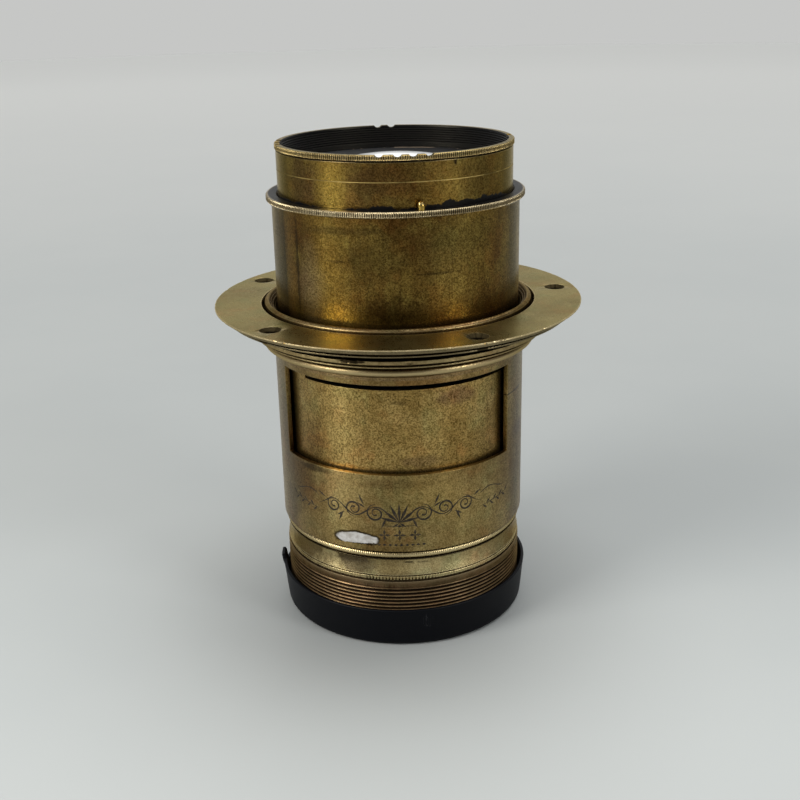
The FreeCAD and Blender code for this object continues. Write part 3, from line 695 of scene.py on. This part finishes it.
def coppery_thread(n, colour, matt):
    """The front cell: redder brass on the thread, dark grooves, black inside, and painted light at the bead:
    a painted highlight along it, and painted shade above and below it.
    """
    thread = n.times(n.ramp(n.z, 19.1, 18.8), n.ramp(n.radius, 31.0, 31.5))
    copper = n.mix(n.ramp(n.noise(0.3, 4, 0.7), 0.4, 0.65), (0.052, 0.027, 0.013), (0.115, 0.062, 0.032))
    copper = n.mix(n.times(n.ramp(n.z, 18.1, 18.4), 0.7), copper, (0.13, 0.085, 0.050))
    colour = n.cover(colour, thread, copper, 0.85)
    colour = n.cover(colour, n.times(thread, n.ramp(n.radius, 33.02, 32.75)), SOOT_AND_SHADE, 0.95)
    colour = n.cover(colour, n.roots(19.3, 20.0, 32.9, 0.34), SOOT_AND_SHADE, 0.9)
    colour = n.cover(colour, n.roots(26.65, 27.4, 33.2, 0.07), SOOT_AND_SHADE, 0.35)
    # Painted highlight along the bead.
    bead = n.times(n.line(26.75, 0.7, 0.3), n.ramp(n.radius, 32.6, 32.9))
    colour = n.cover(colour, bead, (0.60, 0.49, 0.27), 0.6)
    # Painted shade: near black between the bead and the barrel's lower edge.
    colour = n.cover(colour, n.belt(27.35, 27.5, 28.2, 28.1), (0.002, 0.002, 0.001), 0.97)
    # Painted shade in the groove under the bead.
    under = n.times(n.belt(25.2, 25.45, 26.15, 26.05), n.ramp(n.radius, 32.0, 32.2))
    colour = n.cover(colour, under, GRIME_AND_SHADE, 0.92)
    inside = n.ramp(n.radius, 30.9, 30.7)
    n.set(Metallic=n.minus(1.0, inside))
    return n.mix(inside, colour, OPTICAL_BLACK), n.duller(matt, n.ramp(n.z, 19.2, 18.9), 0.12)


JACKET_TONES = dict(dark=(0.162, 0.105, 0.036), mid=(0.264, 0.188, 0.0696), light=(0.384, 0.298, 0.126))
# Most of the darker patches near bearings -65 to -45 and 44 to 70 are painted shade, where the room's dark
# walls would reflect; the rest are stain, and all the lighter patches are painted highlights and reflections.
BRASSES = {
    "jacket_brass": dict(
        **JACKET_TONES, edge_tint=BARE, extra=engraved_side,
        stains_and_shade=[(-52, 45, 11, 8, BROWN, 0.45), (-64, 58, 6, 9, BROWN, 0.35),
                (70, 54, 9, 2.2, (0.075, 0.040, 0.020), 0.65), (64, 65.5, 12, 0.25, SOOT_AND_SHADE, 0.8),
                (-4, 47.4, 16, 1.3, BROWN, 0.35), (-45, 48.6, 9, 0.9, SOOT_AND_SHADE, 0.6),
                (-60, 36, 5, 4, (0.10, 0.075, 0.035), 0.4)],
        painted_highlights=[(-27, 42, 8, 10, (0.55, 0.42, 0.17), 0.3), (12, 44, 14, 5, (0.30, 0.19, 0.045), 0.35),
              (30, 38, 14, 8, STRAW_HIGHLIGHT, 0.22)]),
    "collar_brass": dict(
        dark=(0.115, 0.075, 0.030), mid=(0.185, 0.130, 0.058), light=(0.27, 0.205, 0.105),
        speckle=0.8, worn=0.55, extra=soldered_seam),
    "flange_brass": dict(
        dark=(0.215, 0.163, 0.060), mid=(0.290, 0.228, 0.088), light=(0.360, 0.295, 0.130),
        rough=0.30, speckle=0.34, streaks=0.0, turning=0.06, worn=0.8, painted_side_shade=0.0,
        worn_colour=(0.62, 0.50, 0.29), edge_tint=(0.95, 0.90, 0.72), extra=shaded_hub),
    "tube_brass": dict(
        dark=(0.213, 0.136, 0.039), mid=(0.336, 0.229, 0.0754), light=(0.451, 0.334, 0.127),
        speckle=0.8, streaks=0.25, edge_tint=BARE,
        stains_and_shade=[(27, 69.5, 9, 2.5, (0.10, 0.052, 0.030), 0.6), (-45, 56, 5, 7, BROWN, 0.35),
                (8, 52.5, 10, 1.6, (0.12, 0.07, 0.035), 0.5), (-2, 68.6, 4, 0.5, SOOT_AND_SHADE, 0.3)],
        painted_highlights=[(-29, 62, 7, 12, (0.50, 0.38, 0.14), 0.3), (2, 60, 9, 9, (0.29, 0.18, 0.05), 0.3)]),
    "sleeve_brass": dict(
        dark=(0.0754, 0.0398, 0.0093), mid=(0.156, 0.0994, 0.0225), light=(0.267, 0.192, 0.0465),
        rough=0.30, speckle=0.75, blotch=0.07, painted_side_shade=0.7, edge_tint=(0.97, 0.92, 0.78),
        stains_and_shade=[(-3, 93, 13, 3.5, (0.030, 0.013, 0.003), 0.7), (-10, 104, 12, 6, (0.07, 0.052, 0.014), 0.45),
                # Painted shade: the two thin dark stripes at -49.5 and -60.5; the light strip between them is
                # painted.
                (-49.5, 102, 0.9, 13, SOOT_AND_SHADE, 0.6), (-60.5, 102, 0.8, 13, SOOT_AND_SHADE, 0.6),
                (18, 101.5, 9, 0.3, SOOT_AND_SHADE, 0.5), (-28, 104.5, 6, 0.3, SOOT_AND_SHADE, 0.4),
                (30, 110, 14, 4, (0.05, 0.04, 0.010), 0.4), (-26, 112, 16, 1.0, (0.04, 0.026, 0.008), 0.5)],
        painted_highlights=[(-31, 99, 9, 13, (0.215, 0.135, 0.026), 0.5), (-42, 97, 6, 9, (0.26, 0.20, 0.10), 0.4),
              (-54.5, 102, 3.4, 14, (0.19, 0.105, 0.026), 0.5), (27, 93.5, 8, 3.0, (0.19, 0.120, 0.028), 0.3),
              (22, 106, 10, 6, (0.17, 0.125, 0.034), 0.35)]),
    "mount_brass": dict(
        dark=(0.106, 0.0729, 0.033), mid=(0.175, 0.132, 0.0675), light=(0.25, 0.203, 0.112),
        rough=0.26, worn=0.9, worn_colour=(0.52, 0.43, 0.26), painted_side_shade=0.3, edge_tint=(1.0, 0.98, 0.95),
        extra=blackened_ledge),
    "rear_cell_brass": dict(
        dark=(0.0984, 0.0559, 0.0128), mid=(0.174, 0.114, 0.027), light=(0.250, 0.190, 0.0540),
        rough=0.22, worn=0.85, speckle=0.7, painted_side_shade=0.7, edge_tint=(0.90, 0.82, 0.60),
        worn_colour=(0.48, 0.37, 0.17), extra=blackened_mouth,
        stains_and_shade=[(-5, 124, 12, 4, (0.085, 0.036, 0.012), 0.45), (28, 127.6, 0.9, 1.0, SOOT_AND_SHADE, 0.9),
                # Painted shade: the darker patch at -49, on the side towards the dark room.
                (-49, 122, 9, 7, (0.07, 0.04, 0.020), 0.6), (-13, 121, 6, 7, (0.06, 0.034, 0.012), 0.5),
                (44, 122, 12, 6, (0.075, 0.048, 0.012), 0.5)],
        painted_highlights=[(-30, 122, 6, 9, (0.34, 0.23, 0.045), 0.6), (24, 120, 10, 5, GOLD_HIGHLIGHT, 0.2)]),
    "front_cell_brass": dict(
        dark=(0.29, 0.21, 0.0899), mid=(0.478, 0.377, 0.181), light=(0.667, 0.544, 0.29),
        rough=0.27, speckle=0.4, worn=0.8, worn_colour=(0.62, 0.51, 0.28), extra=coppery_thread,
        stains_and_shade=[(2, 24.6, 2.2, 0.3, SOOT_AND_SHADE, 0.7), (9, 24.4, 3, 0.25, SOOT_AND_SHADE, 0.5),
                (-52, 23, 14, 4, (0.085, 0.058, 0.028), 0.8),
                (-25, 24.7, 9, 1.2, (0.045, 0.032, 0.018), 0.85),
                (-22, 22.6, 8, 2.2, (0.12, 0.09, 0.05), 0.75), (58, 23, 16, 4, BROWN, 0.55)]),
    "pin_brass": dict(dark=(0.30, 0.19, 0.035), mid=(0.52, 0.37, 0.09), light=(0.66, 0.50, 0.17),
                      rough=0.22, speckle=0.2, streaks=0.0),
    "inner_brass": dict(**JACKET_TONES, speckle=0.4),
}
FINISH = {slot: brass(slot.replace("_", " "), **look) for slot, look in BRASSES.items()}
FINISH.update(
    blackened_brass=black_paint("blackened brass", 0.8, glint=[(172, 123.6, 14, 1.2, 0.2, 0.2, 0.3)]),
    crown_glass=optical_glass("crown glass", 1.52, (0.97, 0.985, 0.975)),
    flint_glass=optical_glass("flint glass", 1.61, (0.98, 0.98, 0.97), painted_glancing_reflection=0.9),
    cap_plastic=moulded_plastic("cap plastic"))


# ---------------------------------------------------------------- fixed barrel

jacket = window_shell("barrel_jacket", 32.5, JACKET_SKIN, 28.1, 76.2, 49.8, 73.9,
                      bearing_of(-93.2), 119.2, 0.14)
stands_for(jacket, "jacket_tube", "jacket", "jacket_brass")

draws = np.random.default_rng(7)


def knocks(count, height, wide, reach, deep):
    """Small knocks at random bearings round an edge, as nicks() takes them."""
    return [(float(draws.uniform(-180, 180)), height, float(draws.uniform(*wide)), reach,
             float(draws.uniform(*deep))) for _ in range(count)]


COLLAR_KNOCKS = knocks(26, 82.0, (0.8, 2.4), 0.5, (0.08, 0.3))
COLLAR_KNOCKS += [(-19.5, 82.3, 2.6, 0.75, 0.55), (-14.5, 82.2, 1.2, 0.5, 0.4)]
COLLAR_KNOCKS += knocks(150, 76.4, (0.5, 2.0), 0.4, (-0.10, 0.22))


def collar_wear(radius, height, bearing):
    """Knocks in the collar's edge, and lumps and hollows of solder along its lower seam."""
    return np.where(height < 83, nicks(radius, height, bearing, COLLAR_KNOCKS), radius), height


collar = turned("barrel_collar", [
    (32.5, 76.2), (33.72, 76.2, 0.1), (33.72, 76.5), (35.9, 77.0, 0.1), (36.2, 77.2, 0.1), 0.6,
    (36.0, 79.15, 0.1), (35.4, 79.4, 0.1), -0.3, (38.7, 80.1, 0.15), (38.7, 80.45, 0.15), (38.3, 80.7), -0.2,
    (39.7, 81.25), (40.1, 81.5, 0.3), (40.1, 82.4, 0.15), (35.9, 82.4), (35.9, 83.3), (36.6, 83.7),
    (36.6, 86.2), (35.75, 86.5), (35.75, 88.4, 0.3), 0.15, (34.85, 89.0, 0.25), (34.5, 88.75, 0.12),
    (34.25, 88.2), (34.05, 88.35, 0.1), (33.75, 87.65), (33.55, 87.8, 0.1), (33.2, 87.1), (33.0, 87.25, 0.1),
    (32.5, 86.5)], columns=720, warp=collar_wear)
stands_for(collar, "jacket_collar", "jacket", "collar_brass", slack=0.15)

FLANGE_KNOCKS = knocks(18, 87.9, (0.4, 1.4), 0.4, (0.05, 0.22))
FLANGE_KNOCKS += [(at, 87.95, 0.5, 0.4, 0.35) for at in (-38, -36.6, -34, 24.5, 27.2, 29.5, 31)]
FLANGE_KNOCKS += [(46, 87.9, 0.7, 0.9, 0.45)]


def flange_wear(radius, height, bearing):
    return np.where(radius > 48.2, nicks(radius, height, bearing, FLANGE_KNOCKS), radius), height


def flange_outline():
    """The thin edge and stepped hub of the mounting flange, with fine threads in its bore."""
    bore = [(36.6 + 0.3 * (k % 2), 88.0 - 0.15 - 0.353 * k, 0.03) for k in range(8)]
    return [(36.6, 85.0), (45.2, 85.0, 0.1), (45.9, 85.15, 0.1), (45.9, 85.5, 0.1), (45.3, 85.7),
            (45.3, 86.4), (47.5, 86.5, 0.05), (47.6, 86.6, 0.05), (47.6, 87.2, 0.1), (47.0, 87.5, 0.1),
            (49.0, 87.65, 0.06), (49.0, 88.0, 0.12), (36.72, 88.0, 0.1)] + bore


flange = turned("mounting_ring", flange_outline(), columns=720, warp=flange_wear)
screw_cutter = turned("screw_cutter", [(0, 84.0), (1.6, 84.0), (1.6, 86.9), (2.6, 87.93), (2.78, 88.0),
                                       (2.78, 89.0), (0, 89.0)], columns=64, fillet=0.0)
for hole in range(5):
    at = math.radians(FIRST_SCREW + SCREW_STEP * hole)
    screw_cutter.location = Vector((SCREW_CIRCLE * math.sin(at), -SCREW_CIRCLE * math.cos(at), 0)) * MM
    bpy.context.view_layer.update()
    cut = flange.modifiers.new("screw hole", "BOOLEAN")
    cut.operation, cut.object, cut.solver = "DIFFERENCE", screw_cutter, "EXACT"
    modified_copy(flange)
bpy.data.objects.remove(screw_cutter)
flange.data.set_sharp_from_angle(angle=math.radians(30))
stands_for(flange, "mounting_flange", "jacket", "flange_brass", slack=0.15)


# ---------------------------------------------------------------- sliding lens tube

tube = window_shell("sliding_tube", 30.6, 31.58, 28.0, 94.0, 72.05, 74.25, bearing_of(-51), 180, 0.08)
stands_for(tube, "lens_tube", "lens_tube", "tube_brass")

sleeve = turned("guide_sleeve", [(31.58, 75.4), (31.92, 75.4), (32.42, 75.9, 0.2), (32.42, 95.0, 0),
                                 (32.42, 115.4), (31.58, 115.4)])
stands_for(sleeve, "rear_sleeve", "lens_tube", "sleeve_brass")


def front_cell_shape(radius, height, bearing):
    """Fine knurling on the bead's upper half and on the lower edge of the ring above the thread."""
    radius = knurl(radius, height, bearing, 26.7, 27.4, 32.7, 370, 0.06)
    cut = 0.10 + 0.30 * between(apart(bearing, -2), -13, 13, 6)
    return knurl(radius, height, bearing, 19.35, 19.95, 32.6, 235, cut), height


cell = turned("front_lens_cell", [
    (28.2, 2.0), (32.6, 2.0), (THREAD_CREST, 2.5, 0.1), (THREAD_CREST, 3.0, 0), (THREAD_CREST, 17.35, 0),
    (THREAD_CREST, 18.9, 0.12), (32.5, 18.9), (32.5, 19.4), (32.9, 19.5, 0.05), (32.9, 20.0, 0),
    (32.9, 20.35, 0.08), (32.6, 20.45), (32.6, 20.65), (32.9, 20.75, 0.08), -0.35, (32.9, 25.55, 0.1),
    (32.5, 25.75), (32.5, 26.0), (32.8, 26.0), 0.4, (32.8, 27.5), (32.22, 27.6), (32.22, 28.0), (30.6, 28.0),
    (30.6, 33.0), (29.4, 33.0), (29.4, 24.0), (26.6, 22.0), (26.6, 20.9), (28.2, 20.9)],
    columns=1480, fillet=0.1, warp=front_cell_shape, thread=(THREAD_CREST, 3.0, 17.35, 25.4 / 24, 0.56, 8))
stands_for(cell, "front_cell", "lens_tube", "front_cell_brass")

ring = turned("front_glass_ring", [(26.3, 3.2), (28.2, 2.8), (28.2, 10.6), (27.5, 10.6), (26.3, 6.0)],
              fillet=0.15)
stands_for(ring, "front_retaining_ring", "lens_tube", "blackened_brass")


def milled_rim(radius, height, bearing):
    return knurl(radius, height, bearing, 115.75, 116.7, 33.0, 385, TOOTH), height


mount = turned("rear_mount_ring", [
    (25.7, 95.0), (31.58, 95.0), (31.58, 115.4), (33.5, 115.4), (MOUNT_RIM, 115.7, 0.12),
    (MOUNT_RIM, 116.25, 0), (MOUNT_RIM, 116.7, 0.12), (33.5, 117.0), (31.13, 117.0), (30.73, 116.6),
    (30.73, 114.0), (30.28, 114.0), (30.28, 103.4), (27.4, 103.4), (27.4, 96.2), (25.7, 96.2)],
    columns=2310, fillet=0.08, warp=milled_rim)
stands_for(mount, "rear_mount", "lens_tube", "mount_brass")


def battered_head(radius, height, bearing):
    """The pin's head, filed flat on one side and nicked across its top."""
    rise = smooth((height - 118.2) / 0.9)
    flat = 1 - 0.34 * rise * np.clip(np.cos(bearing - 0.9), 0, 1) ** 2
    sunk = 0.28 * rise * np.clip(1 - abs(radius * np.sin(bearing + 0.3)) / 0.3, 0, 1) * (radius < 0.8)
    return radius * flat, height - sunk


pin = turned("index_mark_pin", [(0, 117.0), (0.95, 117.0, 0.02), (0.95, 118.1, 0), (0.93, 118.5, 0.1),
                                (0.78, 118.95, 0.2), (0.45, 119.1, 0.1), (0, 119.1)],
             columns=48, warp=battered_head)
pin_low, pin_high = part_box("index_pin")
pin_axis = (pin_low + pin_high) / 2
for vertex in pin.data.vertices:
    vertex.co += Vector((pin_axis.x, pin_axis.y, 0))
stands_for(pin, "index_pin", "lens_tube", "pin_brass")


# ---------------------------------------------------------------- turning rear cell

NOTCHES = [bearing_of(a) for a in (-97.2, -88.7, -81.5, -74.1, 91.5, 98.7, 4.6, 177.0, 184.6, 192.2)]
NOTCH_RADIUS, NOTCH_MIDDLE, NOTCH_FLOOR = 1.2, 130.4, 129.2


def notched_rim(radius, height, bearing):
    radius = knurl(radius, height, bearing, 128.65, 129.6, 30.5, 343, TOOTH)
    for at in NOTCHES:
        across = np.radians(apart(bearing, at)) * radius
        floor = NOTCH_MIDDLE - np.sqrt(np.clip(NOTCH_RADIUS ** 2 - across ** 2, 0, None))
        cut = np.minimum(height, np.maximum(floor, NOTCH_FLOOR))
        height = np.where(abs(across) < NOTCH_RADIUS, cut, height)
    return radius, height


def cell_outline():
    """The cell's section, with a row of fine thread ridges inside its mouth."""
    ridges = []
    for k in range(7):
        top = 129.25 - 0.62 * k
        ridges += [(29.3, top, 0.03), (29.52, top - 0.26, 0.03), (29.3, top - 0.52, 0.03)]
    return [(26.2, 104.2), (30.2, 104.2), (30.2, 114.2), (30.65, 114.2), (30.65, 119, 0), (30.65, 123.33, 0),
            (30.58, 123.40), (30.58, 123.5), (30.65, 123.57, 0), (30.65, 128.1), (30.4, 128.2), (30.4, 128.4),
            (CELL_LIP, 128.5, 0.1), (CELL_LIP, 129.1, 0), (CELL_LIP, 129.6, 0.1), (30.7, 129.8, 0.1),
            (29.45, 129.8, 0.1)] + ridges + [(29.3, 121.2), (27.4, 121.2), (27.4, 116.0), (26.2, 116.0)]


rear = turned("turning_rear_cell", cell_outline(), columns=2058, fillet=0.08, warp=notched_rim)
stands_for(rear, "rear_cell", "rear_cell", "rear_cell_brass")

holder = turned("rear_glass_ring", [(25.4, 121.35), (27.3, 120.58), (27.3, 121.3), (29.2, 121.3),
                                    (29.2, 123.8, 0.2), (28.6, 123.8, 0.3), (26.9, 122.55, 0.1),
                                    (26.7, 122.6, 0.1), (25.4, 121.8)], fillet=0.1)
stands_for(holder, "rear_retaining_ring", "cell_glass", "blackened_brass")


# ---------------------------------------------------------------- cap

LUG, GAP = bearing_of(181), bearing_of(171)
CAP_RIM, LUG_TOP = 11.2, 12.3


def lugged_rim(radius, height, bearing):
    """The rim is nearly level, with one leaning lug near -X and a gap in the rim behind it."""
    share = smooth((height - 7.0) / 4.0)
    slant = 0.12 * np.sin(bearing) + 0.05 * np.sin(3 * bearing + 1)
    lug = between(apart(bearing, LUG), -3.6, 3.6, 0.6)
    gap = between(apart(bearing, GAP), -5.6, 5.6, 0.8) * (1 - lug)
    top = CAP_RIM + slant
    lifted = top + (LUG_TOP - top) * lug - 3.2 * gap
    lean = 0.6 * lug * smooth((height - 8.5) / 2.5)
    rim = height - CAP_RIM + lifted
    return radius + lean, np.where(height > 10.8, rim, height + share * (slant - 3.0 * gap))


cap = turned("slip_on_cap", [
    (0, 0), (32.4, 0, 0.1), 0.47, (34.0, 1.6, 0.1), (34.35, 5.0, 0), (34.62, 8.0, 0), (34.85, 10.2, 0),
    (34.95, 11.0, 0.2), (34.8, CAP_RIM, 0.2), (34.15, CAP_RIM, 0.2), (34.02, 11.0, 0.1), (33.9, 10.2, 0),
    (33.7, 8.0, 0), (33.35, 4.5, 0), (33.05, 1.7, 0.3), (0, 1.7)], columns=900, warp=lugged_rim)
stands_for(cap, "front_cap", "front_cap", "cap_plastic", slack=0.2)


# ---------------------------------------------------------------- engraved ornament

def stroke(points, widths):
    """Vertices and faces of a flat tapering stroke laid on the barrel through (bearing, height) points."""
    points = np.array(points, float)
    t = np.linspace(0, 1, len(points))
    fine = np.linspace(0, 1, 14 * len(points))
    u = np.radians(np.interp(fine, t, points[:, 0])) * JACKET_SKIN
    v = np.interp(fine, t, points[:, 1])
    kernel = np.hanning(17)[1:-1]
    kernel /= kernel.sum()
    pad = len(kernel) // 2
    u = np.convolve(np.pad(u, pad, "reflect", reflect_type="odd"), kernel, "valid")
    v = np.convolve(np.pad(v, pad, "reflect", reflect_type="odd"), kernel, "valid")
    width = np.interp(fine, np.linspace(0, 1, len(widths)), widths) / 2
    du, dv = np.gradient(u), np.gradient(v)
    length = np.hypot(du, dv) + 1e-9
    vertices, n = [], len(u)
    for side, lift in ((-1, -0.05), (-0.7, 0.012), (0.7, 0.012), (1, -0.05)):
        a, b = u - side * width * dv / length, v + side * width * du / length
        vertices.append(on_axis(np.full(n, JACKET_SKIN + lift), a / JACKET_SKIN, b))
    vertices = np.concatenate(vertices)
    faces = [(s * n + i, s * n + i + 1, (s + 1) % 4 * n + i + 1, (s + 1) % 4 * n + i)
             for s in range(4) for i in range(n - 1)]
    faces += [(0, n, 2 * n, 3 * n), (n - 1, 4 * n - 1, 3 * n - 1, 2 * n - 1)]
    return vertices, faces


def scroll(bearing, height, size, turns, lean, start):
    """Points of a spiral that closes in on its middle; size is in millimetres."""
    t = np.linspace(0, 1, int(10 * turns) + 6)
    angle = start + lean * TURN * turns * t
    reach = size * (1 - 0.82 * t)
    return [(bearing + math.degrees(r * math.cos(a) / JACKET_SKIN), height + r * math.sin(a))
            for r, a in zip(reach, angle)]


def teardrop(bearing, height, angle, length, width):
    """A leaf that grows from a point at an angle from upright."""
    way = math.radians(angle)
    points = [(bearing + math.degrees(r * math.sin(way) / JACKET_SKIN), height + r * math.cos(way))
              for r in np.array([0, 0.5, 1]) * length]
    return points, [0.06, width, 0.05]


def fan(bearing, height, angles, length, width):
    return [teardrop(bearing, height, angle, length, width) for angle in angles]


def vine(middle, line, side):
    """Half of the ornament: a waving stem with scrolls and leaves, a tendril, and a spray under it."""
    stem = [(middle + side * b, line + 1.5 * math.sin(math.radians((b - 5) * 18)) + 0.0011 * b * b)
            for b in np.arange(4, 41, 1.25)]
    strokes = [(stem, [0.14, 0.62, 0.28, 0.62, 0.28, 0.62, 0.28, 0.56, 0.24, 0.06])]
    for k, b in enumerate((10.5, 20.5, 30.5)):
        up = 1 if k % 2 else -1
        base = line + up * 0.25 + 0.0011 * b * b
        curl = scroll(middle + side * b, base, 2.55 - 0.15 * k, 1.6, side * up, -up * math.pi / 2)
        strokes.append((curl, [0.16, 0.72, 0.55, 0.34, 0.66]))
        inner, outer = (25, 120) if up > 0 else (155, 60)
        strokes += fan(middle + side * (b - 4.8), base + up * 1.2, (side * inner,), 3.4, 0.85)
        strokes += fan(middle + side * (b + 4.6), base - up * 1.4, (side * outer,), 2.6, 0.75)
    tendril = [(middle + side * (39 + b), line + 2.2 + 0.9 * math.sin(math.radians(b * 17)) + 0.04 * b)
               for b in np.arange(0, 17, 1.0)]
    strokes.append((tendril, [0.16, 0.50, 0.24, 0.45, 0.05]))
    spray = [(middle + side * b, 36.5 + 0.0007 * b * b) for b in np.arange(39, 59, 1.5)]
    strokes.append((spray, [0.08, 0.30, 0.26, 0.06]))
    for k, b in enumerate(np.arange(40.5, 57, 2.2)):
        leaf = side * (48 if k % 2 else 128)
        strokes += fan(middle + side * b, 36.5 + 0.0007 * b * b, (leaf,), 1.9, 0.80)
    return strokes


def ornament():
    """A palmette between two vines, a divider with a dot, and rows of leaf crosses and lozenges below."""
    middle, line = -1.6, 39.2
    strokes = fan(middle, line - 2.6, (-75, -50, -25, 0, 25, 50, 75), 5.6, 1.15)
    strokes += fan(middle, line - 2.7, (-125, 125), 2.2, 0.8)
    strokes += vine(middle, line, -1) + vine(middle, line, 1)
    strokes.append(([(-9.2, 35.6), (middle, 35.6), (6.0, 35.6)], [0.22, 0.30, 0.22]))
    strokes.append(([(middle - 1.2, 35.6), (middle, 35.6), (middle + 1.2, 35.6)], [0.0, 1.0, 0.0]))
    for b in (-8.4, middle, 5.2):
        strokes += fan(b, 32.95, (0, 90, 180, 270), 1.65, 0.95)
    for b in np.arange(-13.4, 11.5, 2.5):
        strokes.append(([(b - 0.95, 30.15), (b, 30.15), (b + 0.95, 30.15)], [0.02, 0.95, 0.02]))
    vertices, faces, count = [], [], 0
    for points, widths in strokes:
        v, f = stroke(points, widths)
        vertices.append(v)
        faces += [tuple(i + count for i in face) for face in f]
        count += len(v)
    return finish_mesh("engraved_ornament", np.concatenate(vertices), faces)


engraving = ornament()
engraving.data.materials.append(engraving_wax("engraving wax"))
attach(engraving, "jacket")


# ---------------------------------------------------------------- carried-over CAD nodes

KEPT = {"front_guide_ring": "inner_brass", "stop_guide_front": "blackened_brass",
        "stop_guide_rear": "blackened_brass", "rear_crown_ring": "blackened_brass",
        "front_crown": "crown_glass", "front_flint": "flint_glass",
        "rear_crown": "crown_glass", "rear_flint": "flint_glass"}
for node, finish in KEPT.items():
    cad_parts[node].data.materials.clear()
    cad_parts[node].data.materials.append(FINISH[finish])


# ---------------------------------------------------------------- floor, light and camera

def disc(name, radius, rings, spokes):
    """A flat floor in rings that widen outwards."""
    vertices, faces = [(0, 0, 0)], [(0, 1 + s, 1 + (s + 1) % spokes) for s in range(spokes)]
    for ring in range(rings):
        r = radius * ((ring + 1) / rings) ** 2
        vertices += [(r * math.cos(TURN * s / spokes), r * math.sin(TURN * s / spokes), 0)
                     for s in range(spokes)]
    for ring in range(rings - 1):
        a, b = 1 + ring * spokes, 1 + (ring + 1) * spokes
        faces += [(a + s, b + s, b + (s + 1) % spokes, a + (s + 1) % spokes) for s in range(spokes)]
    mesh = bpy.data.meshes.new(name)
    mesh.from_pydata(vertices, [], faces)
    thing = bpy.data.objects.new(name, mesh)
    bpy.context.scene.collection.objects.link(thing)
    return thing


floor = disc("studio_floor", 3.0, 24, 96)
floor.data.materials.append(pale_floor("pale floor"))


def softbox(name, bearing, distance, height, width, tall, watts, aim=(0, 0, 0.065), tint=(1, 1, 1)):
    """A soft rectangular lamp at a bearing round the object, aimed at it."""
    lamp = bpy.data.lights.new(name, "AREA")
    lamp.shape, lamp.size, lamp.size_y, lamp.energy, lamp.color = "RECTANGLE", width, tall, watts, tint
    thing = bpy.data.objects.new(name, lamp)
    at = math.radians(bearing)
    thing.location = (distance * math.sin(at), -distance * math.cos(at), height)
    thing.rotation_euler = (Vector(aim) - thing.location).to_track_quat("-Z", "Y").to_euler()
    bpy.context.scene.collection.objects.link(thing)


softbox("left softbox", -58, 0.75, 0.42, 0.34, 0.55, 6.2, tint=(1, 0.98, 0.95))
softbox("right softbox", 52, 0.85, 0.40, 0.26, 0.45, 3.2)
softbox("overhead softbox", 150, 0.35, 1.1, 1.1, 0.9, 9.5)

world = bpy.data.worlds.new("pale room")
bpy.context.scene.world = world
world.use_nodes = True
room = Graph(world.node_tree)
way = room.node("ShaderNodeSeparateXYZ", {0: room.node("ShaderNodeTexCoord").outputs["Generated"]}).outputs
walls = room.mix(room.ramp(way[1], 0.15, 0.85), (0.16, 0.16, 0.165), (0.565, 0.57, 0.56))
lit = room.mix(room.ramp(way[2], 0.40, 0.80), walls, (0.85, 0.86, 0.86))
room.put(room.tree.nodes["Background"].inputs["Color"], lit)

# A portrait phone view from in front, 20 degrees down, rolled by a little over one degree.
EYE, PITCH, YAW, ROLL = Vector((0, -0.29817, 0.16713)), 0.35092, -0.00022, -0.023485
forward = Vector((math.sin(YAW) * math.cos(PITCH), math.cos(YAW) * math.cos(PITCH), -math.sin(PITCH)))
level = Vector((math.cos(YAW), -math.sin(YAW), 0))
upward = level.cross(forward)
right = level * math.cos(ROLL) + upward * math.sin(ROLL)
top = upward * math.cos(ROLL) - level * math.sin(ROLL)
lens_data = bpy.data.cameras.new("camera")
lens_data.lens, lens_data.sensor_width, lens_data.clip_start = 51.14, 36.0, 0.01
camera = bpy.data.objects.new("camera", lens_data)
camera.matrix_world = Matrix((right, top, -forward)).transposed().to_4x4()
camera.location = EYE
bpy.context.scene.collection.objects.link(camera)
bpy.context.scene.camera = camera
bpy.context.scene.view_settings.view_transform = "Standard"
